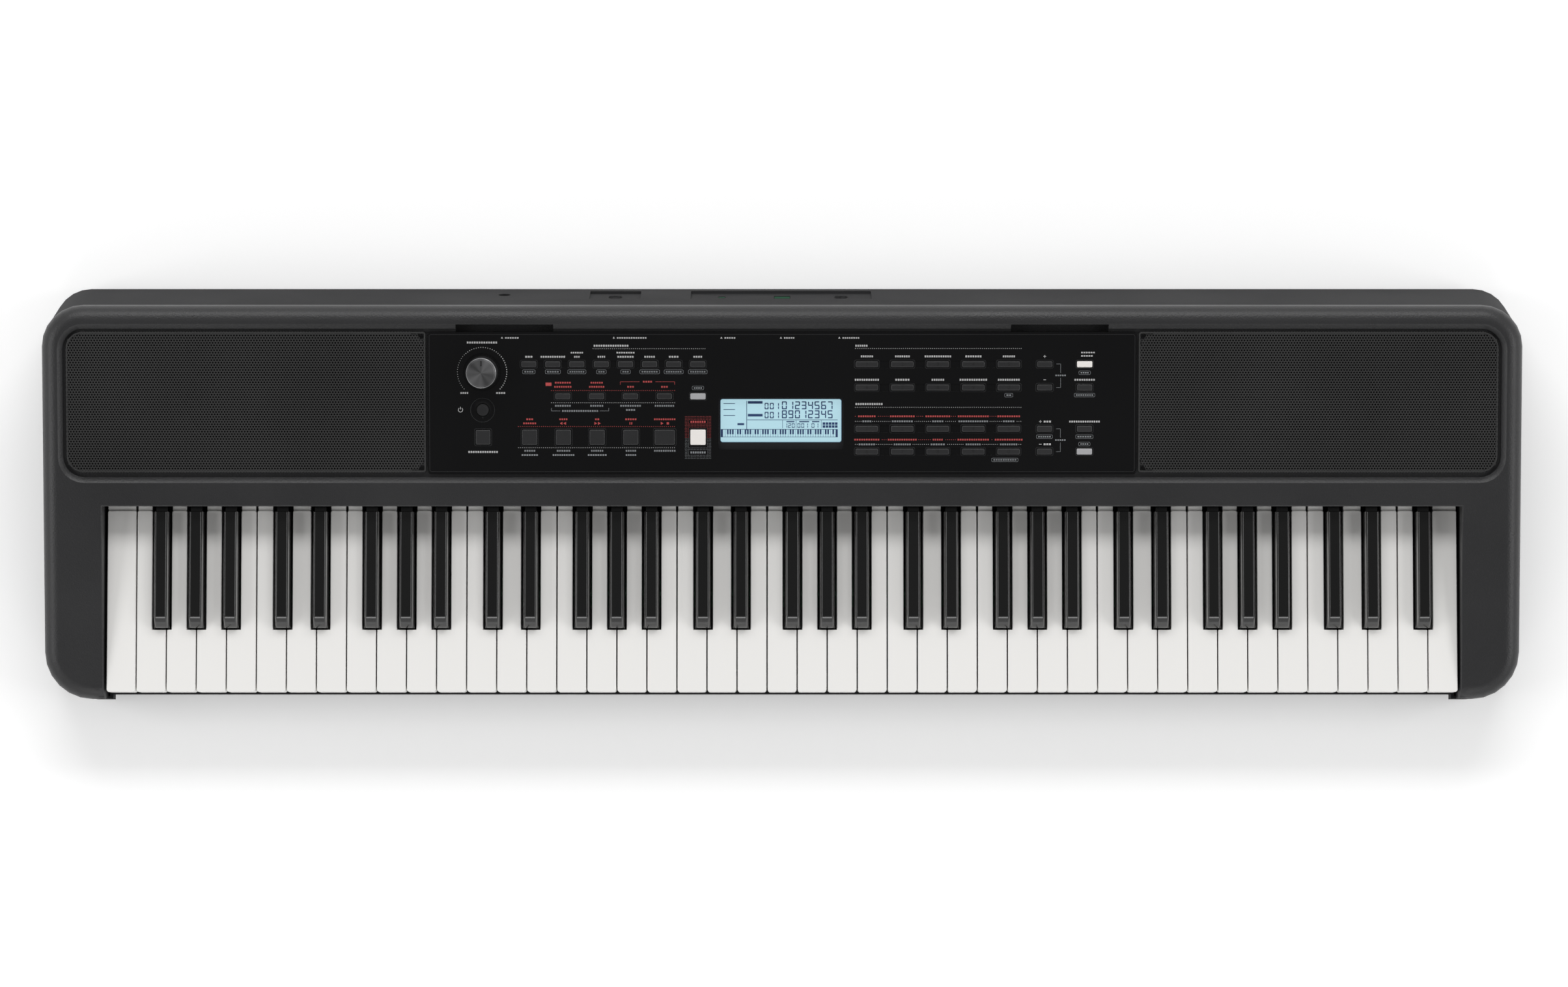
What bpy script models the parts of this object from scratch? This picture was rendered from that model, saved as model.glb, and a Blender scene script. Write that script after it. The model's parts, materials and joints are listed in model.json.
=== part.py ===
"""Portable keyboard with 76 keys, modelled as the assembly that it is on the bench.

Lengths are in millimetres in this file and become metres where a mesh is made.
X runs along the keys towards the treble end, Y towards the rear, Z up from the table.
The origin is under the middle of the instrument, at table height.

The top of the case lies on a plane that rises towards the rear. What sits in or on it is
modelled in that plane's own frame: u along X, v up the slope from the lip over the keys,
w square to the plane. An empty holds that frame.
"""

import math

import bmesh
import bpy
from mathutils import Matrix, Vector

MM = 0.001

# Clearances
SEAT = 0.3
RUN = 0.35

# Keyboard
WHITES = "EFGAB" + "CDEFGAB" * 5 + "CDEFG"
PITCH = 23.5
WHITE_GAP = 1.0
WHITE_LENGTH = 142.0
HEAD_LENGTH = 48.7
WHITE_HEIGHT = 19.5
WHITE_TOP = 62.0
WHITE_CORNER = 2.0
WHITE_EDGE = 0.8
KEY_WALL = 2.0
KEY_SKIN = 2.5
CAP_STEP = 1.5
BLACK_SLOT = 15.1
BLACK_WIDTH = 12.8
BLACK_TOP_WIDTH = 9.6
BLACK_FLAT_WIDTH = 7.2
BLACK_RISE = 12.0
BLACK_EDGE = 1.4
BLACK_HEIGHT = 28.0
BLACK_SLOPE = 9.0
BLACK_FRONT_GAP = 1.0
BLACK_SHIFT = {"C": -3.05, "D": 3.05, "F": -3.6, "G": 0.0, "A": 3.6}
KEY_DIP = 3.0

# Hinge bars of the key combs, stacked over each other
HINGE_BEHIND_CAP = 52.0
BAR_DEPTH = 6.0
BAR_HEIGHT = 2.4
BAR_GAP = 0.4
LOWEST_BAR = 46.0
HINGE_THICKNESS = 1.4
HINGE_LENGTH = 6.0
ARM_TAPER = 3.0
ARM_WIDTH = 9.0

# Case
SLOPE = 8.2
SKIN = 2.8
WALL = 2.6
RIM_DEPTH = 19.0
TOP_EDGE = 12.0
LIP_OVER_WHITES = 22.5
LIP_WALL = 3.5
LIP_HEIGHT_INSIDE = 7.0
LIP_OVERHANG = 1.8
LIP_EDGE = 1.2
CHEEK_WIDTH = 46.9
WELL_CLEARANCE = 1.55
CHEEK_OVERHANG = 5.3
FRONT_CORNER = 37.0
REAR_CORNER = 32.0
FOOT_CORNER = 29.0
REAR_LEAN = 15.2
BASE = 5.0
FLOOR = 3.0
BASE_CHAMFER = 8.0
BASE_BAND = 11.0
FRONT_LEAN = 0.6
SLIP_LEAD = 0.9
SLIP_TOP = 32.0
SLIP_END = 2.3

# Recess in the top of the case, along the slope
LIP_TO_RECESS = 18.4
RECESS_LENGTH = 123.9
RIDGE = 14.0
RECESS_SIDE = 13.2
RECESS_CORNER = 20.0
RECESS_CHAMFER = 4.0
RECESS_SIDE_CHAMFER = 3.8
RECESS_LEDGE = 2.5
RECESS_DEPTH = 5.5
INSET_GAP = 1.5
PANEL_FRONT_GAP = 2.7
PANEL_REAR_GAP = 2.5
GRILLE_FRONT_GAP = 3.0
GRILLE_CORNER = 13.0
GRILLE_SHEET = 1.2
GRILLE_RIM = 2.0

# Control panel
PANEL_HALF = 276.0
PANEL_CORNER = 2.5
PANEL_THICKNESS = 2.7
PANEL_LEDGE = 8.0
CAP_RISE = 1.3
CAP_EDGE = 0.5
STRIP_GAP = 0.6
STRIP_THICKNESS = 2.4
STRIP_WIDTH = 7.0
BUTTON_TRAVEL = 1.2
BOARD_THICKNESS = 1.6
BOSS_RADIUS = 2.9
BOSS_INSET = 2.3
BOARD_DROP = 5.4
CHANNEL_WIDTH = 5.6
CHANNEL_DEPTH = 0.6

SMALL = (12.0, 4.8)
WIDE = (17.8, 4.8)
SQUARE = (12.0, 12.0)
LONG_SQUARE = (16.0, 12.0)
ARTICULATION = (11.6, 11.6)

# Rows of caps, measured up the slope from the panel's front edge
ROW_1 = 85.7
ROW_1B = 67.6
ROW_2 = 60.7
ROW_3 = 28.8
ROW_NUMBERS = 35.4
ROW_NUMBERS_B = 17.6

# Knob and power button
KNOB_AT = (-233.5, 79.6)
KNOB_RADIUS = 11.8
KNOB_SKIRT = 12.3
KNOB_HEIGHT = 15.5
KNOB_DISH = 14.8
KNOB_DISH_DEPTH = 0.8
SHAFT_RADIUS = 3.0
SHAFT_CLEARANCE = 0.1
POWER_AT = (-233.2, 50.0)
POWER_RADIUS = 4.8
POWER_DISH = 9.2
POWER_DISH_DEPTH = 1.9

# Display
WINDOW_SIZE = (98.0, 41.0)
WINDOW_AT = (-0.9, 39.4)
WINDOW_THICKNESS = 1.5
WINDOW_SET = 0.2
SCREEN_SIZE = (94.4, 33.8)
SCREEN_SHIFT = 2.1
SCREEN_DEPTH = 1.5
MODULE_MARGIN = 5.0

# Speakers
SPEAKER_AT = 409.0
SPEAKER_SIZE = (130.0, 78.0)
SPEAKER_WINDOW = (112.0, 62.0)
MAGNET_RADIUS = 26.0

# Slots behind the panel
SLOT_SPAN = (178.0, 254.0)
SLOT_WIDTH = 6.0
SLOT_DEPTH = 7.0

# Sockets in the rear wall
SOCKET_HEIGHT = 43.0
POCKET_SPANS = ((-151.7, -111.5), (-72.0, 70.3))
POCKET_HEIGHT = 36.0
POCKET_DEPTH = 1.8
PHONES_X = -131.5
SUSTAIN_X = 46.5
USB_X = 0.0
AUX_X = -47.5
DC_X = -219.0
JACK_RADIUS = 3.2
JACK_NOSE = 5.0
JACK_LENGTH = 20.0

# Battery bay
BAY_AT = (116.0, 88.0)
BAY_SIZE = (112.0, 50.0)
BAY_HEIGHT = 21.0
BAY_WALL = 2.0
COVER_THICKNESS = 2.6

# Feet
FOOT_RADIUS = 11.0
FOOT_INSET = (78.0, 42.0)
FOOT_POCKET = 1.5

# Key frame and boards
FRAME_PLATE = 3.0
FRAME_BOTTOM = 16.0
STOP_CLEARANCE = 0.8
CONTACT_BOARD_DEPTH = 34.0

# Worked out from the sizes above
ALPHA = math.radians(SLOPE)
KEY_SPAN = PITCH * len(WHITES)
SLIP_HALF = KEY_SPAN / 2 - SLIP_END
WELL_HALF = KEY_SPAN / 2 + WELL_CLEARANCE
HALF_WIDTH = WELL_HALF + CHEEK_WIDTH
LIP_HEIGHT = WHITE_TOP + LIP_OVER_WHITES
RIM_W = -RIM_DEPTH
V_REAR = LIP_TO_RECESS + RECESS_LENGTH + RIDGE
V_FRONT = -(WHITE_LENGTH + LIP_OVERHANG + CHEEK_OVERHANG + TOP_EDGE * math.sin(ALPHA)) / math.cos(ALPHA)
REAR_LEAN_TAN = math.tan(math.radians(REAR_LEAN))


def slope_y(v, w):
    """Distance behind the lip of a point given in the sloping frame."""
    return v * math.cos(ALPHA) - w * math.sin(ALPHA)


def slope_z(v, w):
    return LIP_HEIGHT + v * math.sin(ALPHA) + w * math.cos(ALPHA)


BAND_TOP = BASE + BASE_BAND
FRONT_BEHIND_LIP = slope_y(V_FRONT, -TOP_EDGE)
REAR_BEHIND_LIP = slope_y(V_REAR, RIM_W) + (slope_z(V_REAR, RIM_W) - BAND_TOP) * REAR_LEAN_TAN
LIP_Y = -(FRONT_BEHIND_LIP + REAR_BEHIND_LIP) / 2
FRONT_Y = LIP_Y + FRONT_BEHIND_LIP
REAR_Y = LIP_Y + REAR_BEHIND_LIP
CAP_REAR = LIP_Y - LIP_OVERHANG
KEY_FRONT = CAP_REAR - WHITE_LENGTH
NOTCH = KEY_FRONT + HEAD_LENGTH
HINGE_Y = CAP_REAR + HINGE_BEHIND_CAP
BAR_STEP = BAR_HEIGHT + BAR_GAP
WHITE_BOTTOM = WHITE_TOP - WHITE_HEIGHT
BLACK_TOP = WHITE_TOP + BLACK_RISE
BLACK_BOTTOM = BLACK_TOP - BLACK_HEIGHT
RECESS_FRONT = LIP_TO_RECESS
RECESS_REAR = LIP_TO_RECESS + RECESS_LENGTH
PANEL_FRONT = RECESS_FRONT + RECESS_CHAMFER + PANEL_FRONT_GAP
PANEL_REAR = RECESS_REAR - RECESS_SIDE_CHAMFER - PANEL_REAR_GAP
SLOT_REAR = RECESS_REAR - 0.4
PANEL_TOP = -RECESS_LEDGE
PANEL_BOTTOM = PANEL_TOP - PANEL_THICKNESS
FLOOR_BOTTOM = -RECESS_DEPTH - SKIN
BOARD_TOP = PANEL_BOTTOM - BOARD_DROP
BOARD_BOTTOM = BOARD_TOP - BOARD_THICKNESS
CAVITY_FLOOR = BASE + FLOOR


def rear_wall_y(z):
    """Outside of the leaning rear wall at a height above the table."""
    return REAR_Y - (z - BAND_TOP) * REAR_LEAN_TAN


def clear_scene():
    for thing in list(bpy.data.objects):
        bpy.data.objects.remove(thing)
    for group in list(bpy.data.collections):
        bpy.data.collections.remove(group)


clear_scene()
PARTS = bpy.data.collections.new("portable_keyboard")
TOOLS = bpy.data.collections.new("cutters")
bpy.context.scene.collection.children.link(PARTS)
bpy.context.scene.collection.children.link(TOOLS)

TOP_FRAME = bpy.data.objects.new("top_frame", None)
TOP_FRAME.location = (0, LIP_Y * MM, LIP_HEIGHT * MM)
TOP_FRAME.rotation_euler = (ALPHA, 0, 0)
PARTS.objects.link(TOP_FRAME)


def material(name, colour, roughness, metallic=0.0, alpha=1.0):
    """A plain Principled finish in the colour of the part."""
    finish = bpy.data.materials.new(name)
    finish.use_nodes = True
    shader = finish.node_tree.nodes["Principled BSDF"]
    shader.inputs["Base Color"].default_value = (*colour, 1)
    shader.inputs["Roughness"].default_value = roughness
    shader.inputs["Metallic"].default_value = metallic
    shader.inputs["Alpha"].default_value = alpha
    return finish


BLACK_CASE = (0.022, 0.022, 0.023)
BLACK_GLOSS = (0.008, 0.008, 0.009)
IVORY = (0.82, 0.81, 0.79)
DARK_CAP = (0.035, 0.035, 0.036)
LIGHT_CAP = (0.42, 0.42, 0.43)
WHITE_CAP = (0.80, 0.77, 0.74)
GREEN_BOARD = (0.02, 0.10, 0.05)
STEEL = (0.45, 0.45, 0.46)


# Shapes


def box_shape(low, high):
    """A box between two corners."""
    shape = bmesh.new()
    bmesh.ops.create_cube(shape, size=1.0)
    size = [(b - a) * MM for a, b in zip(low, high)]
    middle = [(a + b) / 2 * MM for a, b in zip(low, high)]
    bmesh.ops.transform(shape, matrix=Matrix.LocRotScale(middle, None, size), verts=shape.verts)
    return shape


def rod_shape(centre, radius, low, high, sides=24, axis="Z", top_radius=None):
    """A cylinder or cone along one axis, between two places on it."""
    shape = bmesh.new()
    far = radius if top_radius is None else top_radius
    bmesh.ops.create_cone(
        shape, cap_ends=True, segments=sides,
        radius1=radius * MM, radius2=far * MM, depth=(high - low) * MM,
    )
    lift = Matrix.Translation((0, 0, (low + high) / 2 * MM))
    turn = Matrix.Rotation(-math.pi / 2, 4, "X") if axis == "Y" else Matrix.Identity(4)
    place = Matrix.Translation(Vector(centre) * MM)
    bmesh.ops.transform(shape, matrix=place @ turn @ lift, verts=shape.verts)
    return shape


def plate_shape(outline, low, high):
    """A flat outline, filled and given its thickness between two heights."""
    curve = bpy.data.curves.new("outline", "CURVE")
    curve.dimensions = "2D"
    curve.fill_mode = "BOTH"
    curve.extrude = (high - low) / 2 * MM
    spline = curve.splines.new("POLY")
    spline.points.add(len(outline) - 1)
    for point, (x, y) in zip(spline.points, outline):
        point.co = (x * MM, y * MM, 0, 1)
    spline.use_cyclic_u = True
    holder = bpy.data.objects.new("outline", curve)
    mesh = bpy.data.meshes.new_from_object(holder)
    shape = bmesh.new()
    shape.from_mesh(mesh)
    bpy.data.objects.remove(holder)
    bpy.data.curves.remove(curve)
    bpy.data.meshes.remove(mesh)
    bmesh.ops.remove_doubles(shape, verts=shape.verts, dist=1e-6)
    bmesh.ops.dissolve_limit(shape, angle_limit=0.001, verts=shape.verts, edges=shape.edges)
    bmesh.ops.translate(shape, vec=(0, 0, (low + high) / 2 * MM), verts=shape.verts)
    bmesh.ops.recalc_face_normals(shape, faces=shape.faces)
    return shape


def side_shape(profile, low, high):
    """A side view in Y and Z, drawn out along X between two places."""
    shape = plate_shape(profile, low, high)
    # The outline's plane becomes YZ and its thickness runs along X.
    turn = Matrix(((0, 0, 1, 0), (1, 0, 0, 0), (0, 1, 0, 0), (0, 0, 0, 1)))
    bmesh.ops.transform(shape, matrix=turn, verts=shape.verts)
    bmesh.ops.recalc_face_normals(shape, faces=shape.faces)
    return shape


def loft_shape(rings):
    """A skin through closed rings of equal point counts, capped at both ends."""
    shape = bmesh.new()
    rows = [[shape.verts.new(Vector(point) * MM) for point in ring] for ring in rings]
    count = len(rows[0])
    for row, after in zip(rows, rows[1:]):
        for i in range(count):
            j = (i + 1) % count
            shape.faces.new((row[i], row[j], after[j], after[i]))
    shape.faces.new(rows[0])
    shape.faces.new(rows[-1])
    bmesh.ops.recalc_face_normals(shape, faces=shape.faces)
    return shape


def round_edges(shape, radius, segments, chosen):
    """Rounds the edges whose two ends pass the test."""
    edges = [edge for edge in shape.edges if all(chosen(v.co / MM) for v in edge.verts)]
    edges = [edge for edge in edges if edge.calc_face_angle(0) > 0.3]
    bmesh.ops.bevel(
        shape, geom=edges, offset=radius * MM, segments=segments,
        profile=0.5, affect="EDGES", clamp_overlap=True,
    )
    return shape


def arc(centre, radius, start, end, steps):
    """Points along an arc, with the angles in degrees."""
    points = []
    for i in range(steps + 1):
        angle = math.radians(start + (end - start) * i / steps)
        points.append((centre[0] + radius * math.cos(angle), centre[1] + radius * math.sin(angle)))
    return points


def rounded_box(left, front, right, rear, radii, steps=6):
    """Outline with corner radii in the order front left, front right, rear right, rear left."""
    a, b, c, d = radii
    points = arc((left + a, front + a), a, 180, 270, steps)
    points += arc((right - b, front + b), b, 270, 360, steps)
    points += arc((right - c, rear - c), c, 0, 90, steps)
    points += arc((left + d, rear - d), d, 90, 180, steps)
    return points


def around(centre, size, radius, steps=2):
    """Rounded rectangle of a given size about a centre."""
    x, y = centre
    w, h = size[0] / 2, size[1] / 2
    return rounded_box(x - w, y - h, x + w, y + h, (radius,) * 4, steps)


def stadium(size, count):
    """Oval of two half circles and two straight sides."""
    radius = size[1] / 2
    reach = size[0] / 2 - radius
    points = []
    for i in range(count):
        angle = 2 * math.pi * (i + 0.5) / count
        side = reach if math.cos(angle) > 0 else -reach
        points.append((side + radius * math.cos(angle), radius * math.sin(angle)))
    return points


# Objects


def add_object(name, shape, group, parent=None, origin=(0, 0, 0)):
    """Makes an object of a shape, with its origin at the given point of its parent's frame."""
    mesh = bpy.data.meshes.new(name)
    bmesh.ops.translate(shape, vec=-Vector(origin) * MM, verts=shape.verts)
    shape.to_mesh(mesh)
    shape.free()
    thing = bpy.data.objects.new(name, mesh)
    group.objects.link(thing)
    thing.parent = parent
    thing.location = Vector(origin) * MM
    return thing


def part(name, shape, finish, parent=None, origin=(0, 0, 0)):
    thing = add_object(name, shape, PARTS, parent, origin)
    thing.data.materials.append(finish)
    return thing


def tool(name, shape, parent=None):
    """A shape that cuts or joins another, and isn't a part itself."""
    thing = add_object(name, shape, TOOLS, parent)
    thing.hide_render = True
    thing.display_type = "WIRE"
    return thing


def combine(thing, operation, shapes, parent=None):
    """Joins shapes to a part, or cuts them from it, in one step."""
    group = bpy.data.collections.new(f"{thing.name}_{operation.lower()}")
    TOOLS.children.link(group)
    for shape in shapes:
        other = tool(f"{thing.name}_tool", shape, parent)
        TOOLS.objects.unlink(other)
        group.objects.link(other)
    step = thing.modifiers.new(operation.title(), "BOOLEAN")
    step.operation = operation
    step.solver = "EXACT"
    step.operand_type = "COLLECTION"
    step.collection = group
    return thing


def join(thing, shapes, parent=None):
    return combine(thing, "UNION", shapes, parent)


def cut(thing, shapes, parent=None):
    return combine(thing, "DIFFERENCE", shapes, parent)


def turned(name, profile, finish, steps, parent, origin):
    """A round piece: a profile of radius and height, from its top down its outer side, with a Screw."""
    mesh = bpy.data.meshes.new(name)
    points = [(r * MM, 0, h * MM) for r, h in profile]
    edges = [(i, i + 1) for i in range(len(points) - 1)]
    mesh.from_pydata(points, edges, [])
    thing = bpy.data.objects.new(name, mesh)
    PARTS.objects.link(thing)
    thing.parent = parent
    thing.location = Vector(origin) * MM
    thing.data.materials.append(finish)
    screw = thing.modifiers.new("Screw", "SCREW")
    screw.steps = steps
    screw.render_steps = steps
    screw.use_merge_vertices = True
    screw.merge_threshold = 0.00001
    return thing


# Case


def case_outline(inset=0.0, rear_inset=None):
    """Top view of the case in the sloping frame."""
    rear = inset if rear_inset is None else rear_inset
    front_r = FRONT_CORNER - inset
    rear_r = REAR_CORNER - inset
    return rounded_box(
        -HALF_WIDTH + inset, V_FRONT + inset, HALF_WIDTH - inset, V_REAR - rear,
        (front_r, front_r, rear_r, rear_r),
    )


def recess_outline(front, side, rear, grow=0.0):
    """Outline of the recess with its sides taken in by three distances."""
    half = HALF_WIDTH - RECESS_SIDE - side + grow
    radius = RECESS_CORNER - side + grow
    return rounded_box(
        -half, RECESS_FRONT + front - grow, half, RECESS_REAR - rear + grow, (radius,) * 4,
    )


def flat_ring(outline, w):
    return [(x, y, w) for x, y in outline]


def cavity_shape():
    """Hollow of the upper case: the cheeks and the space behind the lip, in one U."""
    side = HALF_WIDTH - WALL
    inner = WELL_HALF + WALL
    front = V_FRONT + WALL
    front_r = FRONT_CORNER - WALL
    rear_r = REAR_CORNER - WALL
    rear = V_REAR - WALL
    outline = arc((-side + front_r, front + front_r), front_r, 180, 270, 6)
    outline += [(-inner, front), (-inner, LIP_WALL), (inner, LIP_WALL), (inner, front)]
    outline += arc((side - front_r, front + front_r), front_r, 270, 360, 6)
    outline += arc((side - rear_r, rear - rear_r), rear_r, 0, 90, 6)
    outline += arc((-side + rear_r, rear - rear_r), rear_r, 90, 180, 6)
    shape = plate_shape(outline, RIM_W - 2, -SKIN)
    radius = TOP_EDGE - WALL

    def on_outer_top(point):
        inside = abs(point.x) < inner + 0.1 and front + 0.1 < point.y < LIP_WALL + 0.1
        return point.z > -SKIN - 0.01 and not inside

    return round_edges(shape, radius, 4, on_outer_top)


def upper_case():
    shape = plate_shape(case_outline(), RIM_W, 0)
    round_edges(shape, TOP_EDGE, 5, lambda p: p.z > -0.01)
    case = part("upper_case", shape, material("case_grain", BLACK_CASE, 0.55), TOP_FRAME)
    cut(case, [cavity_shape()], TOP_FRAME)

    tub = plate_shape(recess_outline(0, 0, 0, grow=SKIN), FLOOR_BOTTOM, -SKIN / 2)
    pockets = []
    for side in (-1, 1):
        low, high = sorted((side * SLOT_SPAN[0], side * SLOT_SPAN[1]))
        pockets.append(box_shape(
            (low - WALL, SLOT_REAR - SLOT_WIDTH - 2.2, -RECESS_DEPTH - SLOT_DEPTH - WALL),
            (high + WALL, SLOT_REAR + WALL, -SKIN / 2),
        ))
    bosses = []
    for u in (-BOARD_HALF + 4, 0, BOARD_HALF - 4):
        for v in (PANEL_FRONT + BOSS_INSET, PANEL_REAR - BOSS_INSET):
            bosses.append(rod_shape((u, v, 0), BOSS_RADIUS, BOARD_TOP + SEAT, FLOOR_BOTTOM + 1, 12))
    join(case, [tub, *pockets, *bosses], TOP_FRAME)

    recess = loft_shape([
        flat_ring(recess_outline(RECESS_CHAMFER, RECESS_SIDE_CHAMFER, RECESS_SIDE_CHAMFER), -RECESS_DEPTH),
        flat_ring(recess_outline(RECESS_CHAMFER, RECESS_SIDE_CHAMFER, RECESS_SIDE_CHAMFER), PANEL_TOP),
        flat_ring(recess_outline(0, 0, 0), 0),
        flat_ring(recess_outline(0, 0, 0), 1),
    ])
    cut(case, [recess], TOP_FRAME)

    well_front = V_FRONT - 10
    well = loft_shape([
        flat_ring(well_outline(well_front, 0), RIM_W - 5),
        flat_ring(well_outline(well_front, 0), -LIP_EDGE),
        flat_ring(well_outline(well_front, LIP_EDGE * 2), LIP_EDGE),
    ])
    corner = WELL_HALF - 1
    under_lip = box_shape((-corner, -1, RIM_W - 5), (corner, LIP_WALL + 1, -LIP_HEIGHT_INSIDE))
    panel_hole = plate_shape(
        rounded_box(
            -PANEL_HALF + PANEL_LEDGE, PANEL_FRONT + PANEL_LEDGE - 2,
            PANEL_HALF - PANEL_LEDGE, PANEL_REAR - PANEL_LEDGE + 2, (3,) * 4, 2,
        ),
        FLOOR_BOTTOM - 4, 0,
    )
    holes = [panel_hole]
    for side in (-1, 1):
        oval = [(side * SPEAKER_AT + x, SPEAKER_V + y) for x, y in stadium(SPEAKER_WINDOW, 20)]
        holes.append(plate_shape(oval, FLOOR_BOTTOM - 4, 0))
        low, high = sorted((side * SLOT_SPAN[0], side * SLOT_SPAN[1]))
        holes.append(box_shape(
            (low, SLOT_REAR - SLOT_WIDTH, -RECESS_DEPTH - SLOT_DEPTH),
            (high, SLOT_REAR, 3),
        ))
    cut(case, [well], TOP_FRAME)
    cut(case, [under_lip, *holes], TOP_FRAME)
    return case


def well_outline(front, grow):
    return [
        (-WELL_HALF - grow, front), (WELL_HALF + grow, front),
        (WELL_HALF + grow, grow), (-WELL_HALF - grow, grow),
    ]


def lower_outline(inset, front, slip_front, rear, corner):
    """Top view of the lower case at one height, with the set-back between the cheeks."""
    half = HALF_WIDTH - inset
    slip = SLIP_HALF + inset
    front_r = FRONT_CORNER - inset
    rear_r = corner - inset
    points = arc((-half + front_r, front + front_r), front_r, 180, 270, 6)
    points += [(-slip, front), (-slip, slip_front), (slip, slip_front), (slip, front)]
    points += arc((half - front_r, front + front_r), front_r, 270, 360, 6)
    points += arc((half - rear_r, rear - rear_r), rear_r, 0, 90, 6)
    points += arc((-half + rear_r, rear - rear_r), rear_r, 90, 180, 6)
    return points


def to_slope(points, w):
    """Points of a top view, seen in the sloping frame, as points above the table."""
    return [(x, LIP_Y + slope_y(v, w), slope_z(v, w)) for x, v in points]


def v_at(y, w):
    """Distance up the slope of a point with a known Y."""
    return (y - LIP_Y + w * math.sin(ALPHA)) / math.cos(ALPHA)


def lower_shape(inset, base, rim_w):
    """Solid of the lower case, or of its hollow, between the table side and the sloping rim."""
    front, rear = FRONT_Y + FRONT_LEAN + inset, REAR_Y - inset
    slip = KEY_FRONT - SLIP_LEAD + inset
    band = lower_outline(inset, front, slip, rear, FOOT_CORNER)
    step = BASE_CHAMFER
    foot = lower_outline(inset + step, front + step, slip + step, rear - step, FOOT_CORNER)
    rim = lower_outline(inset, V_FRONT + inset, v_at(slip, rim_w), V_REAR - inset, REAR_CORNER)
    return loft_shape([
        [(x, y, base) for x, y in foot], [(x, y, BAND_TOP) for x, y in band], to_slope(rim, rim_w)])


def lower_case():
    case = part("lower_case", lower_shape(0, BASE, RIM_W - SEAT), material("base_grain", BLACK_CASE, 0.6))
    cut(case, [lower_shape(WALL, CAVITY_FLOOR, RIM_W + 6)])

    additions = []
    toe, heel = FRONT_Y + FRONT_LEAN + WALL / 2, HINGE_Y + 20
    cheek = [
        (toe, BAND_TOP), (toe + BASE_CHAMFER, CAVITY_FLOOR - 1), (heel, CAVITY_FLOOR - 1),
        (heel, CHEEK_RIB_TOP), (toe, CHEEK_RIB_TOP),
    ]
    for side in (-1, 1):
        near, far = sorted((side * WELL_HALF, side * (WELL_HALF + WALL)))
        additions.append(side_shape(cheek, near, far))
    for y in (KEY_FRONT + 18, KEY_FRONT + 90, HINGE_Y - 2):
        additions.append(box_shape(
            (-KEY_SPAN / 2 + 6, y - 1.3, CAVITY_FLOOR - 1), (KEY_SPAN / 2 - 6, y + 1.3, FRAME_BOTTOM - SEAT)))
    for low, high in POCKET_SPANS:
        additions.append(wall_block(low - 3, high + 3, WALL - 1, WALL + POCKET_DEPTH - 0.2, POCKET_HEIGHT / 2 + 3))
    x, y = BAY_AT
    half_x, half_y = BAY_SIZE[0] / 2 + BAY_WALL, BAY_SIZE[1] / 2 + BAY_WALL
    additions.append(box_shape(
        (x - half_x, y - half_y, BASE + 0.5), (x + half_x, y + half_y, BASE + BAY_HEIGHT + BAY_WALL)))
    for bx in (JACK_BOARD_X[0] + 6, (JACK_BOARD_X[0] + JACK_BOARD_X[1]) / 2 + 28, JACK_BOARD_X[1] - 6):
        additions.append(rod_shape((bx, JACK_BOARD_Y[0] + 5, 0), BOSS_RADIUS, CAVITY_FLOOR - 1, JACK_BOARD_Z - SEAT, 12))
    for bx in (MAIN_BOARD_X[0] + 6, MAIN_BOARD_X[1] - 6):
        for by in (MAIN_BOARD_Y[0] + 5, MAIN_BOARD_Y[1] - 5):
            additions.append(rod_shape((bx, by, 0), BOSS_RADIUS, CAVITY_FLOOR - 1, MAIN_BOARD_Z - SEAT, 12))
    join(case, additions)

    above_rim = loft_shape([
        to_slope([(-700, -300), (700, -300), (700, 300), (-700, 300)], RIM_W - SEAT),
        to_slope([(-700, -300), (700, -300), (700, 300), (-700, 300)], RIM_W + 120),
    ])
    cuts = [box_shape((-WELL_HALF, FRONT_Y - 5, SLIP_TOP), (WELL_HALF, KEY_FRONT + 12, 130))]
    for low, high in POCKET_SPANS:
        cuts.append(wall_block(low, high, -5, POCKET_DEPTH, POCKET_HEIGHT / 2))
    cuts.append(box_shape(
        (x - BAY_SIZE[0] / 2, y - BAY_SIZE[1] / 2, BASE - 2),
        (x + BAY_SIZE[0] / 2, y + BAY_SIZE[1] / 2, BASE + BAY_HEIGHT)))
    for px in (PHONES_X, SUSTAIN_X):
        cuts.append(rod_shape((px, 0, SOCKET_HEIGHT), JACK_NOSE + RUN, REAR_Y - 24, REAR_Y + 5, 20, "Y"))
    cuts.append(rod_shape((AUX_X, 0, SOCKET_HEIGHT), AUX_NOSE + RUN, REAR_Y - 24, REAR_Y + 5, 16, "Y"))
    cuts.append(rod_shape((DC_X, 0, SOCKET_HEIGHT), JACK_NOSE - 0.6 + RUN, REAR_Y - 24, REAR_Y + 5, 20, "Y"))
    cuts.append(box_shape(
        (USB_X - USB_SHELL[0] / 2 - RUN, REAR_Y - 24, SOCKET_HEIGHT - USB_SHELL[1] / 2 - RUN),
        (USB_X + USB_SHELL[0] / 2 + RUN, REAR_Y + 5, SOCKET_HEIGHT + USB_SHELL[1] / 2 + RUN)))
    for fx, fy in foot_places():
        cuts.append(rod_shape((fx, fy, 0), FOOT_RADIUS + RUN, BASE - 3, BASE + FOOT_POCKET, 20))
    cut(case, cuts)
    cut(case, [above_rim])
    return case


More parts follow.
